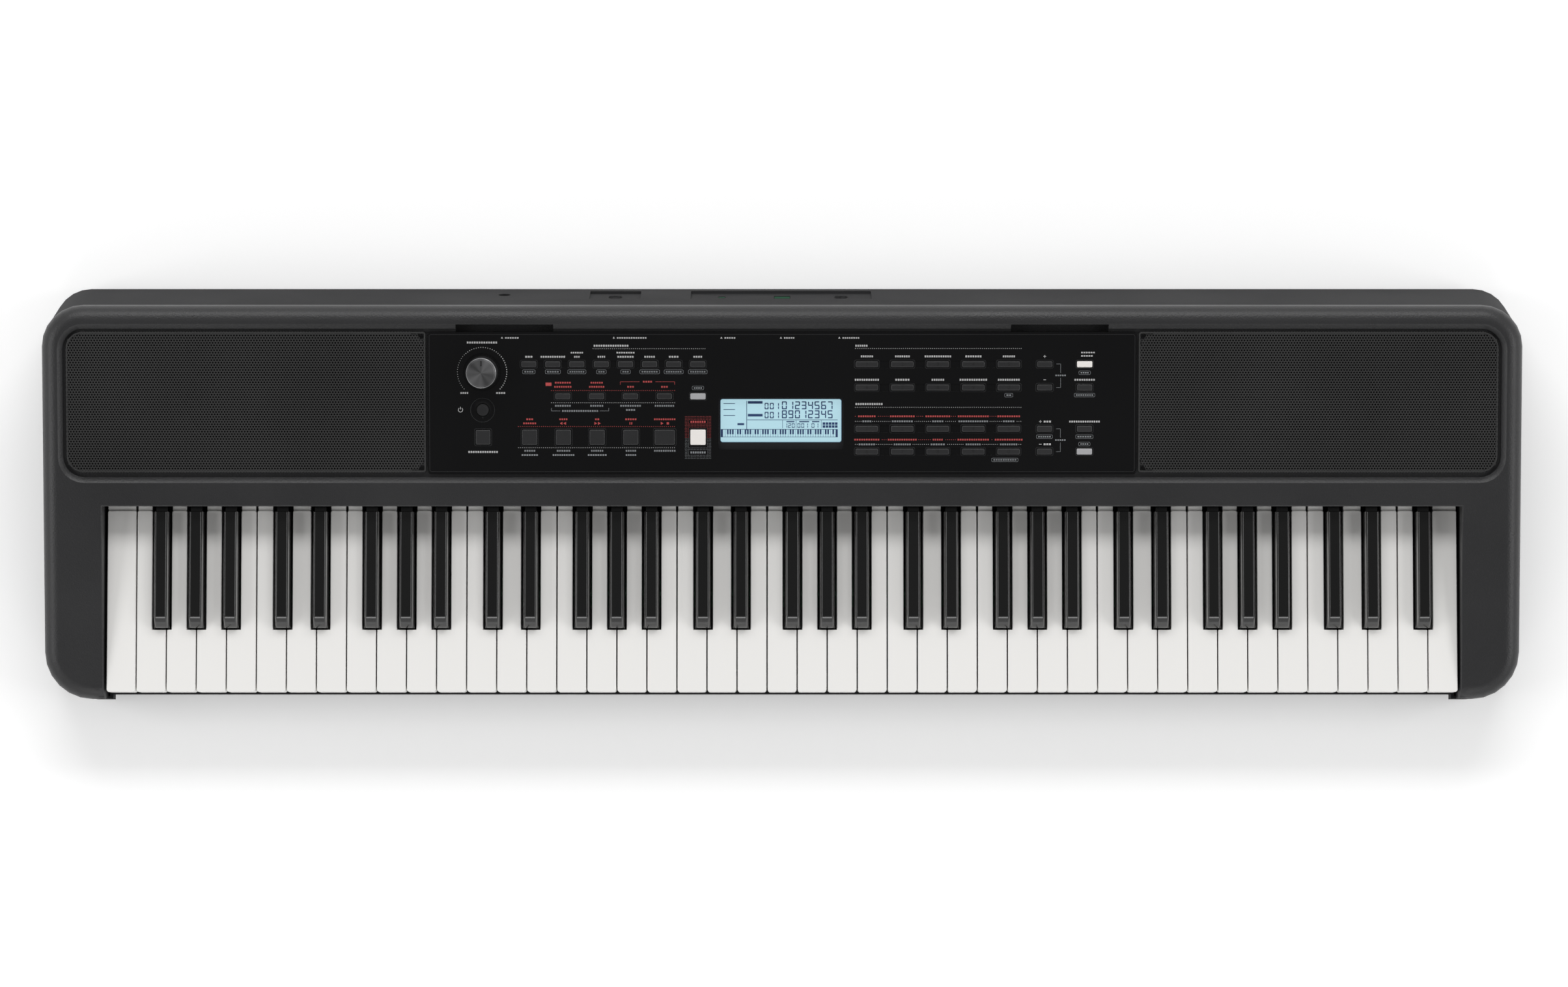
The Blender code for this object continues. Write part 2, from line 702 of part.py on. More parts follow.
def wall_block(low, high, near, far, half_height):
    """Block in the rear wall's own leaning direction, from one depth below its face to another."""
    lean = math.radians(REAR_LEAN)
    shape = box_shape((low, -far, -half_height), (high, -near, half_height))
    turn = Matrix.Rotation(lean, 4, "X")
    place = Matrix.Translation(Vector((0, rear_wall_y(SOCKET_HEIGHT), SOCKET_HEIGHT)) * MM)
    bmesh.ops.transform(shape, matrix=place @ turn, verts=shape.verts)
    return shape


def foot_places():
    x = HALF_WIDTH - FOOT_INSET[0]
    front = FRONT_Y + FOOT_INSET[1]
    rear = REAR_Y - FOOT_INSET[1]
    return [(-x, front), (x, front), (x, rear), (-x, rear)]


def feet():
    rubber = material("foot_rubber", (0.03, 0.03, 0.03), 0.85)
    names = ("foot_front_left", "foot_front_right", "foot_rear_right", "foot_rear_left")
    for name, (x, y) in zip(names, foot_places()):
        shape = rod_shape((x, y, 0), FOOT_RADIUS, 0, BASE + FOOT_POCKET - SEAT, 20)
        part(name, shape, rubber)


# Speakers and grilles

SPEAKER_V = (RECESS_FRONT + RECESS_REAR) / 2 + 2
GRILLE_INNER = PANEL_HALF + INSET_GAP
GRILLE_OUTER = HALF_WIDTH - RECESS_SIDE - RECESS_SIDE_CHAMFER - INSET_GAP - 1.2
GRILLE_FRONT = PANEL_FRONT + GRILLE_FRONT_GAP - INSET_GAP
GRILLE_REAR = PANEL_REAR


def grille_outline(side, inset=0.0):
    small, large = 2.0 - min(inset, 1.5), GRILLE_CORNER - inset
    radii = (large, small, small, large) if side < 0 else (small, large, large, small)
    low, high = sorted((side * GRILLE_INNER, side * GRILLE_OUTER))
    return rounded_box(low + inset, GRILLE_FRONT + inset, high - inset, GRILLE_REAR - inset, radii, 5)


def grille(side, name):
    bottom = -RECESS_DEPTH + SEAT
    shape = plate_shape(grille_outline(side), bottom, PANEL_TOP)
    round_edges(shape, 0.5, 1, lambda p: p.z > PANEL_TOP - 0.01)
    sheet = part(name, shape, material(f"{name}_metal", (0.03, 0.03, 0.03), 0.45, 0.6), TOP_FRAME)
    third = (GRILLE_OUTER - GRILLE_INNER - 4 * GRILLE_RIM) / 3
    hollows = []
    for i in range(3):
        near = GRILLE_INNER + GRILLE_RIM + i * (third + GRILLE_RIM)
        low, high = sorted((side * near, side * (near + third)))
        corner = 8.0 if i == 2 else 0.6
        radii = (corner, 0.6, 0.6, corner) if side < 0 else (0.6, corner, corner, 0.6)
        outline = rounded_box(
            low, GRILLE_FRONT + GRILLE_RIM, high, GRILLE_REAR - GRILLE_RIM, radii, 3)
        hollows.append(plate_shape(outline, bottom - 1, PANEL_TOP - GRILLE_SHEET))
    cut(sheet, hollows, TOP_FRAME)
    return sheet


def speaker(side, name):
    """Oval speaker: flange, basket, magnet, cone and dust cap, as one turned-like skin."""
    top = FLOOR_BOTTOM - SEAT
    count = 16
    flange = SPEAKER_SIZE
    basket = (flange[0] - 14, flange[1] - 14)
    mouth = (flange[0] - 22, flange[1] - 22)
    coil = (30.0, 30.0)
    steps = [
        ((2 * MAGNET_RADIUS, 2 * MAGNET_RADIUS), top - 42), ((2 * MAGNET_RADIUS, 2 * MAGNET_RADIUS), top - 27),
        ((34.0, 34.0), top - 27), ((44.0, 40.0), top - 22), (basket, top - 6), (basket, top - 3),
        (flange, top - 3), (flange, top), (mouth, top), ((mouth[0] - 6, mouth[1] - 6), top - 2.5),
        (coil, top - 15), ((22.0, 22.0), top - 11.5), ((8.0, 8.0), top - 9.5),
    ]
    rings = []
    for size, w in steps:
        rings.append([(side * SPEAKER_AT + x, SPEAKER_V + y, w) for x, y in stadium(size, count)])
    part(name, loft_shape(rings), material(f"{name}_cone", (0.03, 0.03, 0.032), 0.7), TOP_FRAME)


# Control panel and what sits in it

BOARD_HALF = PANEL_HALF - 4.0
BOARD_FRONT = PANEL_FRONT - 2.0
BOARD_REAR = PANEL_REAR + 1.5


def strip_layout():
    """Each moulded strip of caps: its name, finish, rows of (u, height up the panel, size), and channel flag."""
    dark = material("cap_dark", DARK_CAP, 0.45)
    light = material("cap_light", LIGHT_CAP, 0.45)
    white = material("cap_white", WHITE_CAP, 0.4)

    def row(first, last, count, height, size):
        gap = (last - first) / (count - 1)
        return [(first + gap * i, height, size) for i in range(count)]

    numbers = (66.0, 176.5)
    plus, column = 204.4, 235.5
    return [
        ("record_buttons", dark, row(-197.1, -159.7, 3, ROW_1, SMALL), True),
        ("sound_buttons", dark, row(-140.6, -65.6, 5, ROW_1, SMALL), True),
        ("lesson_buttons", dark, row(-170.7, -91.6, 4, ROW_2, SMALL), False),
        ("transport_buttons", dark,
         row(-196.6, -117.8, 4, ROW_3, SQUARE) + [(-91.4, ROW_3, LONG_SQUARE)], False),
        ("number_buttons_1", dark, row(*numbers, 5, ROW_1, WIDE), True),
        ("number_buttons_2", dark, row(*numbers, 5, ROW_1B, WIDE), True),
        ("number_buttons_3", dark, row(*numbers, 5, ROW_NUMBERS, WIDE), True),
        ("number_buttons_4", dark, row(*numbers, 5, ROW_NUMBERS_B, WIDE), True),
        ("articulation_button", dark, [(KNOB_AT[0] + 0.6, ROW_3, ARTICULATION)], False),
        ("mode_button", white, [(-65.5, ROW_3, SQUARE)], False),
        ("left_shift_button", light, [(-65.5, ROW_2, SMALL)], False),
        ("upper_step_buttons", dark, [(plus, ROW_1, SMALL), (plus, ROW_1B, SMALL)], False),
        ("lower_step_buttons", dark, [(plus, ROW_NUMBERS, SMALL), (plus, ROW_NUMBERS_B, SMALL)], False),
        ("upper_column_buttons", white, [(column, ROW_1, SMALL), (column, ROW_1B, SMALL)], False),
        ("lower_column_buttons", light, [(column, ROW_NUMBERS, SMALL), (column, ROW_NUMBERS_B, SMALL)], False),
    ]


def cap_outline(centre, size, grow=0.0):
    x, y = centre
    w, h = size[0] / 2 + grow, size[1] / 2 + grow
    return [(x - w, y - h), (x + w, y - h), (x + w, y + h), (x - w, y + h)]


def button_strip(name, finish, caps):
    """Caps on one moulded bar under the panel, pressed square to the panel."""
    lefts = [u - size[0] / 2 for u, h, size in caps]
    rights = [u + size[0] / 2 for u, h, size in caps]
    rows = [PANEL_FRONT + h for u, h, size in caps]
    middle = ((min(lefts) + max(rights)) / 2, (min(rows) + max(rows)) / 2, PANEL_TOP)
    half = STRIP_WIDTH / 2
    top = PANEL_BOTTOM - STRIP_GAP
    bar = box_shape(
        (min(lefts), min(rows) - half, top - STRIP_THICKNESS), (max(rights), max(rows) + half, top))
    strip = part(name, bar, finish, TOP_FRAME, middle)
    shapes = []
    for u, height, size in caps:
        outline = cap_outline((u, PANEL_FRONT + height), size)
        cap = plate_shape(outline, top - 1, PANEL_TOP + CAP_RISE)
        round_edges(cap, CAP_EDGE, 1, lambda p: p.z > PANEL_TOP + CAP_RISE - 0.01)
        shapes.append(cap)
    join(strip, shapes, TOP_FRAME)
    return strip


def control_panel(strips):
    shape = plate_shape(
        rounded_box(-PANEL_HALF, PANEL_FRONT, PANEL_HALF, PANEL_REAR, (PANEL_CORNER,) * 4, 3),
        PANEL_BOTTOM, PANEL_TOP,
    )
    round_edges(shape, 0.4, 1, lambda p: p.z > PANEL_TOP - 0.01)
    panel = part("control_panel", shape, material("panel_gloss", BLACK_GLOSS, 0.2), TOP_FRAME)
    low, high = PANEL_BOTTOM - 2, PANEL_TOP + 2
    channels, holes = [], []
    for name, finish, caps, channel in strips:
        for u, height, size in caps:
            holes.append(plate_shape(cap_outline((u, PANEL_FRONT + height), size, RUN), low, high))
        if channel:
            v = PANEL_FRONT + caps[0][1]
            channels.append(box_shape(
                (caps[0][0], v - CHANNEL_WIDTH / 2, PANEL_TOP - CHANNEL_DEPTH),
                (caps[-1][0], v + CHANNEL_WIDTH / 2, high)))
    u, v = KNOB_AT[0], PANEL_FRONT + KNOB_AT[1]
    channels.append(rod_shape((u, v, 0), KNOB_DISH, PANEL_TOP - KNOB_DISH_DEPTH, high, 28))
    holes.append(rod_shape((u, v, 0), BUSH_RADIUS + RUN, low, high, 20))
    u, v = POWER_AT[0], PANEL_FRONT + POWER_AT[1]
    channels.append(rod_shape(
        (u, v, 0), POWER_RADIUS + 0.9, PANEL_TOP - POWER_DISH_DEPTH, PANEL_TOP + 0.1, 28,
        top_radius=POWER_DISH))
    holes.append(rod_shape((u, v, 0), POWER_RADIUS + RUN, low, high, 24))
    centre = (WINDOW_AT[0], PANEL_FRONT + WINDOW_AT[1])
    holes.append(plate_shape(around(centre, WINDOW_SIZE, 2.0, 2), low, high))
    cut(panel, channels, TOP_FRAME)
    cut(panel, holes, TOP_FRAME)
    return panel


def display():
    centre = (WINDOW_AT[0], PANEL_FRONT + WINDOW_AT[1])
    size = (WINDOW_SIZE[0] - 2 * SEAT, WINDOW_SIZE[1] - 2 * SEAT)
    top = PANEL_TOP - WINDOW_SET
    clear = material("window_clear", (0.6, 0.65, 0.68), 0.05, alpha=0.3)
    part("lcd_window", plate_shape(around(centre, size, 2.0 - SEAT, 2), top - WINDOW_THICKNESS, top),
         clear, TOP_FRAME)
    half = (WINDOW_SIZE[0] / 2 + MODULE_MARGIN, WINDOW_SIZE[1] / 2 + MODULE_MARGIN)
    face = PANEL_BOTTOM - SEAT
    body = box_shape(
        (centre[0] - half[0], centre[1] - half[1], BOARD_TOP + SEAT), (centre[0] + half[0], centre[1] + half[1], face))
    module = part("lcd_module", body, material("module_black", (0.01, 0.01, 0.012), 0.5), TOP_FRAME)
    screen = around((centre[0], centre[1] + SCREEN_SHIFT), SCREEN_SIZE, 1.5, 2)
    cut(module, [plate_shape(screen, face - SCREEN_DEPTH, face + 2)], TOP_FRAME)


BUSH_RADIUS = 4.6
POT_HALF = 8.5


def volume_control():
    """Knob with its shaft, and the rotary control that it turns in."""
    u, v = KNOB_AT[0], PANEL_FRONT + KNOB_AT[1]
    skirt_w = PANEL_TOP - KNOB_DISH_DEPTH + 0.8
    top = PANEL_TOP + KNOB_HEIGHT
    bush_top = PANEL_TOP + 1.2
    shaft_low = PANEL_BOTTOM - 3.0
    profile = [
        (0, top), (KNOB_RADIUS - 1.0, top), (KNOB_RADIUS, top - 0.8), (KNOB_RADIUS, top - 2.2),
        (KNOB_RADIUS - 0.5, top - 2.7), (KNOB_SKIRT, skirt_w + 0.4), (KNOB_SKIRT, skirt_w),
        (KNOB_SKIRT - 1.8, skirt_w), (KNOB_SKIRT - 2.4, top - 5.0), (SHAFT_RADIUS, top - 5.0),
        (SHAFT_RADIUS, shaft_low), (0, shaft_low),
    ]
    knob = turned("volume_knob", [(r, h - PANEL_TOP) for r, h in profile],
                  material("knob_metal", STEEL, 0.3, 0.9), 24, TOP_FRAME, (u, v, PANEL_TOP))
    pointer = box_shape((u - 0.4, v + KNOB_RADIUS - 6.2, top - 0.4), (u + 0.4, v + KNOB_RADIUS - 2.0, top + 1))
    cut(knob, [pointer], TOP_FRAME)

    body = box_shape(
        (u - POT_HALF, v - POT_HALF, BOARD_TOP + SEAT), (u + POT_HALF, v + POT_HALF, PANEL_BOTTOM - SEAT))
    control = part("volume_control", body, material("control_metal", STEEL, 0.4, 0.8), TOP_FRAME)
    join(control, [rod_shape((u, v, 0), BUSH_RADIUS, PANEL_BOTTOM - 2, bush_top, 20)], TOP_FRAME)
    cut(control, [rod_shape((u, v, 0), SHAFT_RADIUS + SHAFT_CLEARANCE, shaft_low - 0.6, bush_top + 1, 24)],
        TOP_FRAME)


def power_button():
    u, v = POWER_AT[0], PANEL_FRONT + POWER_AT[1]
    low = PANEL_BOTTOM - STRIP_GAP - STRIP_THICKNESS
    top = PANEL_TOP - POWER_DISH_DEPTH + 0.5
    profile = [
        (0, top), (POWER_RADIUS - 0.5, top), (POWER_RADIUS, top - 0.4), (POWER_RADIUS, PANEL_BOTTOM - STRIP_GAP),
        (POWER_RADIUS + 1.4, PANEL_BOTTOM - STRIP_GAP), (POWER_RADIUS + 1.4, low), (0, low),
    ]
    turned("power_button", [(r, h - PANEL_TOP) for r, h in profile],
           material("power_cap", DARK_CAP, 0.5), 24, TOP_FRAME, (u, v, PANEL_TOP))


def panel_board():
    """Board under the panel, with a lip on each side that its bosses hold."""
    body = box_shape((-BOARD_HALF, BOARD_FRONT, BOARD_BOTTOM), (BOARD_HALF, BOARD_REAR, BOARD_TOP))
    board = part("panel_board", body, material("panel_board_green", GREEN_BOARD, 0.5), TOP_FRAME)
    slots = []
    for side in (-1, 1):
        low, high = sorted((side * SLOT_SPAN[0], side * SLOT_SPAN[1]))
        slots.append(box_shape(
            (low - WALL - 1, SLOT_REAR - SLOT_WIDTH - 2.2 - 1, BOARD_BOTTOM - 1), (high + WALL + 1, BOARD_REAR + 1, BOARD_TOP + 1)))
    cut(board, slots, TOP_FRAME)


# Boards and sockets in the lower case

JACK_BOARD_X = (-236.0, 66.0)
JACK_BOARD_Y = (REAR_Y - 52.0, REAR_Y - 16.0)
JACK_BOARD_Z = SOCKET_HEIGHT - 8.8
MAIN_BOARD_X = (-190.0, 20.0)
MAIN_BOARD_Y = (HINGE_Y + 18.0, REAR_Y - 60.0)
MAIN_BOARD_Z = 20.0
CHEEK_RIB_TOP = 120.0
USB_SHELL = (12.0, 11.0)
USB_MOUTH = (8.4, 7.8)
AUX_NOSE = 3.0
AUX_BORE = 1.8


def jack_board():
    top = JACK_BOARD_Z + BOARD_THICKNESS
    body = box_shape((JACK_BOARD_X[0], JACK_BOARD_Y[0], JACK_BOARD_Z), (JACK_BOARD_X[1], JACK_BOARD_Y[1], top))
    board = part("jack_board", body, material("jack_board_green", GREEN_BOARD, 0.5))
    nose = rear_wall_y(SOCKET_HEIGHT) - POCKET_DEPTH - 0.2
    z = SOCKET_HEIGHT
    shapes = [
        box_shape((USB_X - 5, nose - 16, top - 0.5), (USB_X + 5, nose - 7.5, z)),
        box_shape((USB_X - USB_SHELL[0] / 2, nose - 16, z - USB_SHELL[1] / 2),
                  (USB_X + USB_SHELL[0] / 2, nose, z + USB_SHELL[1] / 2)),
        box_shape((AUX_X - 4, nose - 16, top - 0.5), (AUX_X + 4, nose - 4.5, z + 4)),
        rod_shape((AUX_X, 0, z), AUX_NOSE, nose - 6, nose, 16, "Y"),
        box_shape((DC_X - 5.5, nose - 16, top - 0.5), (DC_X + 5.5, nose - 4.5, z + 5.5)),
        rod_shape((DC_X, 0, z), JACK_NOSE - 0.6, nose - 6, nose, 20, "Y"),
    ]
    join(board, shapes)
    cut(board, [
        box_shape((USB_X - USB_MOUTH[0] / 2, nose - 13, z - USB_MOUTH[1] / 2), (USB_X + USB_MOUTH[0] / 2, nose + 1, z + USB_MOUTH[1] / 2)),
        rod_shape((AUX_X, 0, z), AUX_BORE, nose - 13, nose + 1, 12, "Y"),
        rod_shape((DC_X, 0, z), JACK_RADIUS, nose - 12, nose + 1, 16, "Y"),
    ])


def large_jack(name, x):
    """Socket for a 6.3 mm plug, on the jack board."""
    low = JACK_BOARD_Z + BOARD_THICKNESS + SEAT
    nose = rear_wall_y(SOCKET_HEIGHT) - POCKET_DEPTH + 0.6
    z = SOCKET_HEIGHT
    body = box_shape((x - 7, nose - JACK_LENGTH - 6, low), (x + 7, nose - 6.5, z + 7))
    jack = part(name, body, material(f"{name}_plastic", (0.02, 0.02, 0.02), 0.5))
    join(jack, [rod_shape((x, 0, z), JACK_NOSE, nose - 8, nose, 20, "Y")])
    cut(jack, [rod_shape((x, 0, z), JACK_RADIUS, nose - JACK_LENGTH, nose + 1, 16, "Y")])


def main_board():
    low, high = MAIN_BOARD_Z, MAIN_BOARD_Z + BOARD_THICKNESS
    body = box_shape((MAIN_BOARD_X[0], MAIN_BOARD_Y[0], low), (MAIN_BOARD_X[1], MAIN_BOARD_Y[1], high))
    board = part("main_board", body, material("main_board_green", GREEN_BOARD, 0.5))
    x, y = MAIN_BOARD_X[0], (MAIN_BOARD_Y[0] + MAIN_BOARD_Y[1]) / 2
    join(board, [
        box_shape((x + 40, y - 10, high - 0.5), (x + 60, y + 10, high + 2.4)),
        box_shape((x + 90, y - 8, high - 0.5), (x + 106, y + 8, high + 2.0)),
        box_shape((x + 150, y - 14, high - 0.5), (x + 185, y - 8, high + 12)),
        rod_shape((x + 130, y + 6, 0), 5, high - 0.5, high + 13, 12),
    ])


def battery_cover():
    x, y = BAY_AT
    half_x, half_y = BAY_SIZE[0] / 2 - RUN, BAY_SIZE[1] / 2 - RUN
    outline = around((x, y), (2 * half_x, 2 * half_y), 0.6, 1)
    cover = part("battery_cover", plate_shape(outline, BASE, BASE + COVER_THICKNESS),
                 material("cover_grain", BLACK_CASE, 0.6), None, (x, y, BASE))
    ribs = [box_shape((x - half_x + 6, y + d - 1, BASE + COVER_THICKNESS - 0.5), (x + half_x - 6, y + d + 1, BASE + COVER_THICKNESS + 1.5))
            for d in (-12, 12)]
    join(cover, ribs)
    cut(cover, [box_shape((x - 9, y + half_y - 9, BASE - 1), (x + 9, y + half_y - 5, BASE + 1.2))])


# Keys


def white_bounds(index):
    """Left and right sides of a white key's head and of its tail."""
    letter = WHITES[index]
    left = -KEY_SPAN / 2 + index * PITCH
    right = left + PITCH
    before = WHITES[index - 1] if index else ""
    tail_left = left + BLACK_SHIFT[before] + BLACK_SLOT / 2 if before in BLACK_SHIFT else left + WHITE_GAP / 2
    last = index == len(WHITES) - 1
    has_black = letter in BLACK_SHIFT and not last
    tail_right = right + BLACK_SHIFT[letter] - BLACK_SLOT / 2 if has_black else right - WHITE_GAP / 2
    return left + WHITE_GAP / 2, right - WHITE_GAP / 2, tail_left, tail_right


def white_outline(index, inset=0.0):
    """Top view of a white key: a wide head and a tail that leaves room for the black keys."""
    left, right, tail_left, tail_right = white_bounds(index)
    left, right = left + inset, right - inset
    front, rear, notch = KEY_FRONT + inset, CAP_REAR - inset, NOTCH - inset
    corner = max(WHITE_CORNER - inset, 0.3)
    points = arc((left + corner, front + corner), corner, 180, 270, 1)
    points += arc((right - corner, front + corner), corner, 270, 360, 1)
    if right - (tail_right - inset) > 1:
        points += [(right, notch), (tail_right - inset, notch)]
    points += [(min(right, tail_right - inset), rear), (max(left, tail_left + inset), rear)]
    if (tail_left + inset) - left > 1:
        points += [(tail_left + inset, notch), (left, notch)]
    return points


def arm_profile(bar_z, top, reach):
    """Side view of the arm behind a key, down to its thin hinge and its bar."""
    half = HINGE_THICKNESS / 2
    bar_front = HINGE_Y - BAR_DEPTH / 2
    arm_rear = bar_front - HINGE_LENGTH
    return [
        (bar_front + 1, bar_z - half), (bar_front + 1, bar_z + half), (arm_rear, bar_z + half),
        (arm_rear - ARM_TAPER, top), (CAP_REAR - reach, top), (CAP_REAR - reach, bar_z - half),
    ]


def white_key(index, bar_z):
    """Shapes to join and to cut for one white key."""
    left, right, tail_left, tail_right = white_bounds(index)
    cap = plate_shape(white_outline(index), WHITE_BOTTOM, WHITE_TOP)
    round_edges(cap, WHITE_EDGE, 1, lambda p: p.z > WHITE_TOP - 0.01)
    middle = (tail_left + tail_right) / 2
    profile = arm_profile(bar_z, WHITE_TOP - CAP_STEP, KEY_WALL + 0.5)
    arm = side_shape(profile, middle - ARM_WIDTH / 2, middle + ARM_WIDTH / 2)
    hollow = plate_shape(white_outline(index, KEY_WALL), WHITE_BOTTOM - 1, WHITE_TOP - KEY_SKIN)
    return [cap, arm], [hollow]


def black_section(y, top):
    """Cross-section of a black key at one place along its length."""
    side, shoulder, flat = BLACK_WIDTH / 2, BLACK_TOP_WIDTH / 2, BLACK_FLAT_WIDTH / 2
    edge = top - BLACK_EDGE
    foot = min(WHITE_TOP, edge - 1)
    return [
        (-side, y, BLACK_BOTTOM), (side, y, BLACK_BOTTOM), (side, y, foot), (shoulder, y, edge),
        (flat, y, top), (-flat, y, top), (-shoulder, y, edge), (-side, y, foot),
    ]


def black_key(index, bar_z):
    """Shapes to join and to cut for the black key after a white one."""
    centre = -KEY_SPAN / 2 + (index + 1) * PITCH + BLACK_SHIFT[WHITES[index]]
    front = NOTCH + BLACK_FRONT_GAP
    sections = [
        black_section(CAP_REAR - 1.4, BLACK_TOP),
        black_section(front + BLACK_SLOPE, BLACK_TOP),
        black_section(front + BLACK_SLOPE * 0.25, BLACK_TOP - 4.6),
        black_section(front, BLACK_TOP - 10.0),
    ]
    rings = [[(centre + x, y, z) for x, y, z in section] for section in sections]
    cap = loft_shape(rings)
    profile = arm_profile(bar_z, WHITE_TOP + 4, KEY_WALL + 3)
    arm = side_shape(profile, centre - ARM_WIDTH / 2, centre + ARM_WIDTH / 2)
    inner = BLACK_WIDTH / 2 - KEY_WALL
    hollow = box_shape(
        (centre - inner, front + KEY_WALL, BLACK_BOTTOM - 1),
        (centre + inner, CAP_REAR - KEY_WALL - 6, WHITE_TOP - 1))
    return [cap, arm], [hollow]


def comb(name, finish, first, last, keys, level, maker):
    """Keys moulded on one hinge bar. The bar spans from one white key's left side to another's right side."""
    bar_z = LOWEST_BAR + level * BAR_STEP
    left = -KEY_SPAN / 2 + first * PITCH + WHITE_GAP / 2
    right = -KEY_SPAN / 2 + (last + 1) * PITCH - WHITE_GAP / 2
    origin = ((left + right) / 2, HINGE_Y, bar_z)
    bar = box_shape(
        (left, HINGE_Y - BAR_DEPTH / 2, bar_z - BAR_HEIGHT / 2), (right, HINGE_Y + BAR_DEPTH / 2, bar_z + BAR_HEIGHT / 2))
    thing = part(name, bar, finish, None, origin)
    joins, cuts = [], []
    for index in keys:
        more, less = maker(index, bar_z)
        joins += more
        cuts += less
    join(thing, joins)
    cut(thing, cuts)
    return thing


def key_sets():
    """First and last white key of each moulded set, by name."""
    sets = [("low", 0, 4)]
    for octave in range(5):
        sets.append((f"octave_{octave + 1}", 5 + 7 * octave, 11 + 7 * octave))
    sets.append(("high", 40, len(WHITES) - 1))
    return sets


def keyboard():
    ivory = material("key_white", IVORY, 0.25)
    ebony = material("key_black", BLACK_GLOSS, 0.25)
    for name, first, last in key_sets():
        span = range(first, last + 1)
        outer = [i for i in span if WHITES[i] in "CEGB"]
        inner = [i for i in span if WHITES[i] in "DFA"]
        blacks = [i for i in span if WHITES[i] in BLACK_SHIFT and i + 1 < len(WHITES)]
        comb(f"white_keys_{name}_a", ivory, first, last, outer, 0, white_key)
        comb(f"white_keys_{name}_b", ivory, first, last, inner, 1, white_key)
        comb(f"black_keys_{name}", ebony, first, last, blacks, 2, black_key)


def key_frame():
    """Moulded frame under the keys: a front rail that stops them and a beam that carries the hinge bars."""
    low, plate = FRAME_BOTTOM, FRAME_BOTTOM + FRAME_PLATE
    front, rear = KEY_FRONT + 5, HINGE_Y + BAR_DEPTH / 2 + 6
    stop = WHITE_BOTTOM - math.tan(math.radians(KEY_DIP)) * (HINGE_Y - KEY_FRONT) - STOP_CLEARANCE
    beam = LOWEST_BAR - BAR_HEIGHT / 2 - SEAT
    profile = [
        (front, low), (rear, low), (rear, beam + 8), (rear - 3, beam + 8), (rear - 3, beam),
        (HINGE_Y - BAR_DEPTH / 2 - 1, beam), (HINGE_Y - BAR_DEPTH / 2 - 1, beam - 3), (rear - 3, beam - 5),
        (rear - 3, plate + 4), (rear - 9, plate), (front + 14, plate), (front + 10, stop), (front, stop),
    ]
    half = KEY_SPAN / 2 - 0.2
    frame = part("key_frame", side_shape(profile, -half, half), material("frame_plastic", (0.05, 0.05, 0.05), 0.6))
    webs = []
    for i in range(8):
        x = -half + 8 + i * (2 * half - 16) / 7
        web = [(HINGE_Y - BAR_DEPTH / 2 - 1, beam - 1), (rear - 1, beam - 1), (rear - 1, plate - 1), (rear - 30, plate - 1)]
        webs.append(side_shape(web, x - 1, x + 1))
    join(frame, webs)


def contact_board():
    """Board with the rubber contacts that the keys press."""
    plate = FRAME_BOTTOM + FRAME_PLATE
    low = plate + SEAT
    half = KEY_SPAN / 2 - 6
    y = (KEY_FRONT + CAP_REAR) / 2 + 14
    top = low + BOARD_THICKNESS
    body = box_shape((-half, y - CONTACT_BOARD_DEPTH / 2, low), (half, y + CONTACT_BOARD_DEPTH / 2, top))
    board = part("contact_board", body, material("contact_board_green", GREEN_BOARD, 0.5))
    profile = [(y - 8, top - 0.5), (y + 8, top - 0.5), (y + 8, top + 2), (y + 5, top + 6), (y - 5, top + 6), (y - 8, top + 2)]
    join(board, [side_shape(profile, -half + 3, half - 3)])


def finish_shading():
    """Round sides look round and creases stay crisp."""
    for thing in PARTS.objects:
        if thing.type == "MESH" and thing.data.polygons:
            thing.data.shade_smooth()
            thing.data.set_sharp_from_angle(angle=math.radians(30))


def build():
    strips = strip_layout()
    upper_case()
    lower_case()
    feet()
    grille(-1, "grille_left")
    grille(1, "grille_right")
    speaker(-1, "speaker_left")
    speaker(1, "speaker_right")
    control_panel(strips)
    for name, finish, caps, channel in strips:
        button_strip(name, finish, caps)
    display()
    volume_control()
    power_button()
    panel_board()
    jack_board()
    large_jack("phones_jack", PHONES_X)
    large_jack("sustain_jack", SUSTAIN_X)
    main_board()
    battery_cover()
    key_frame()
    contact_board()
    keyboard()
    finish_shading()


build()
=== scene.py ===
# %% [markdown]
# A portable keyboard, dressed for its picture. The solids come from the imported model. This script
# gives them their finishes, and makes the fine forms that the solids leave out: the rounded keys,
# the perforated grilles, the spun knob, the printed marks and the glowing display.

import json
import math

import bmesh
import bpy
from mathutils import Matrix, Vector

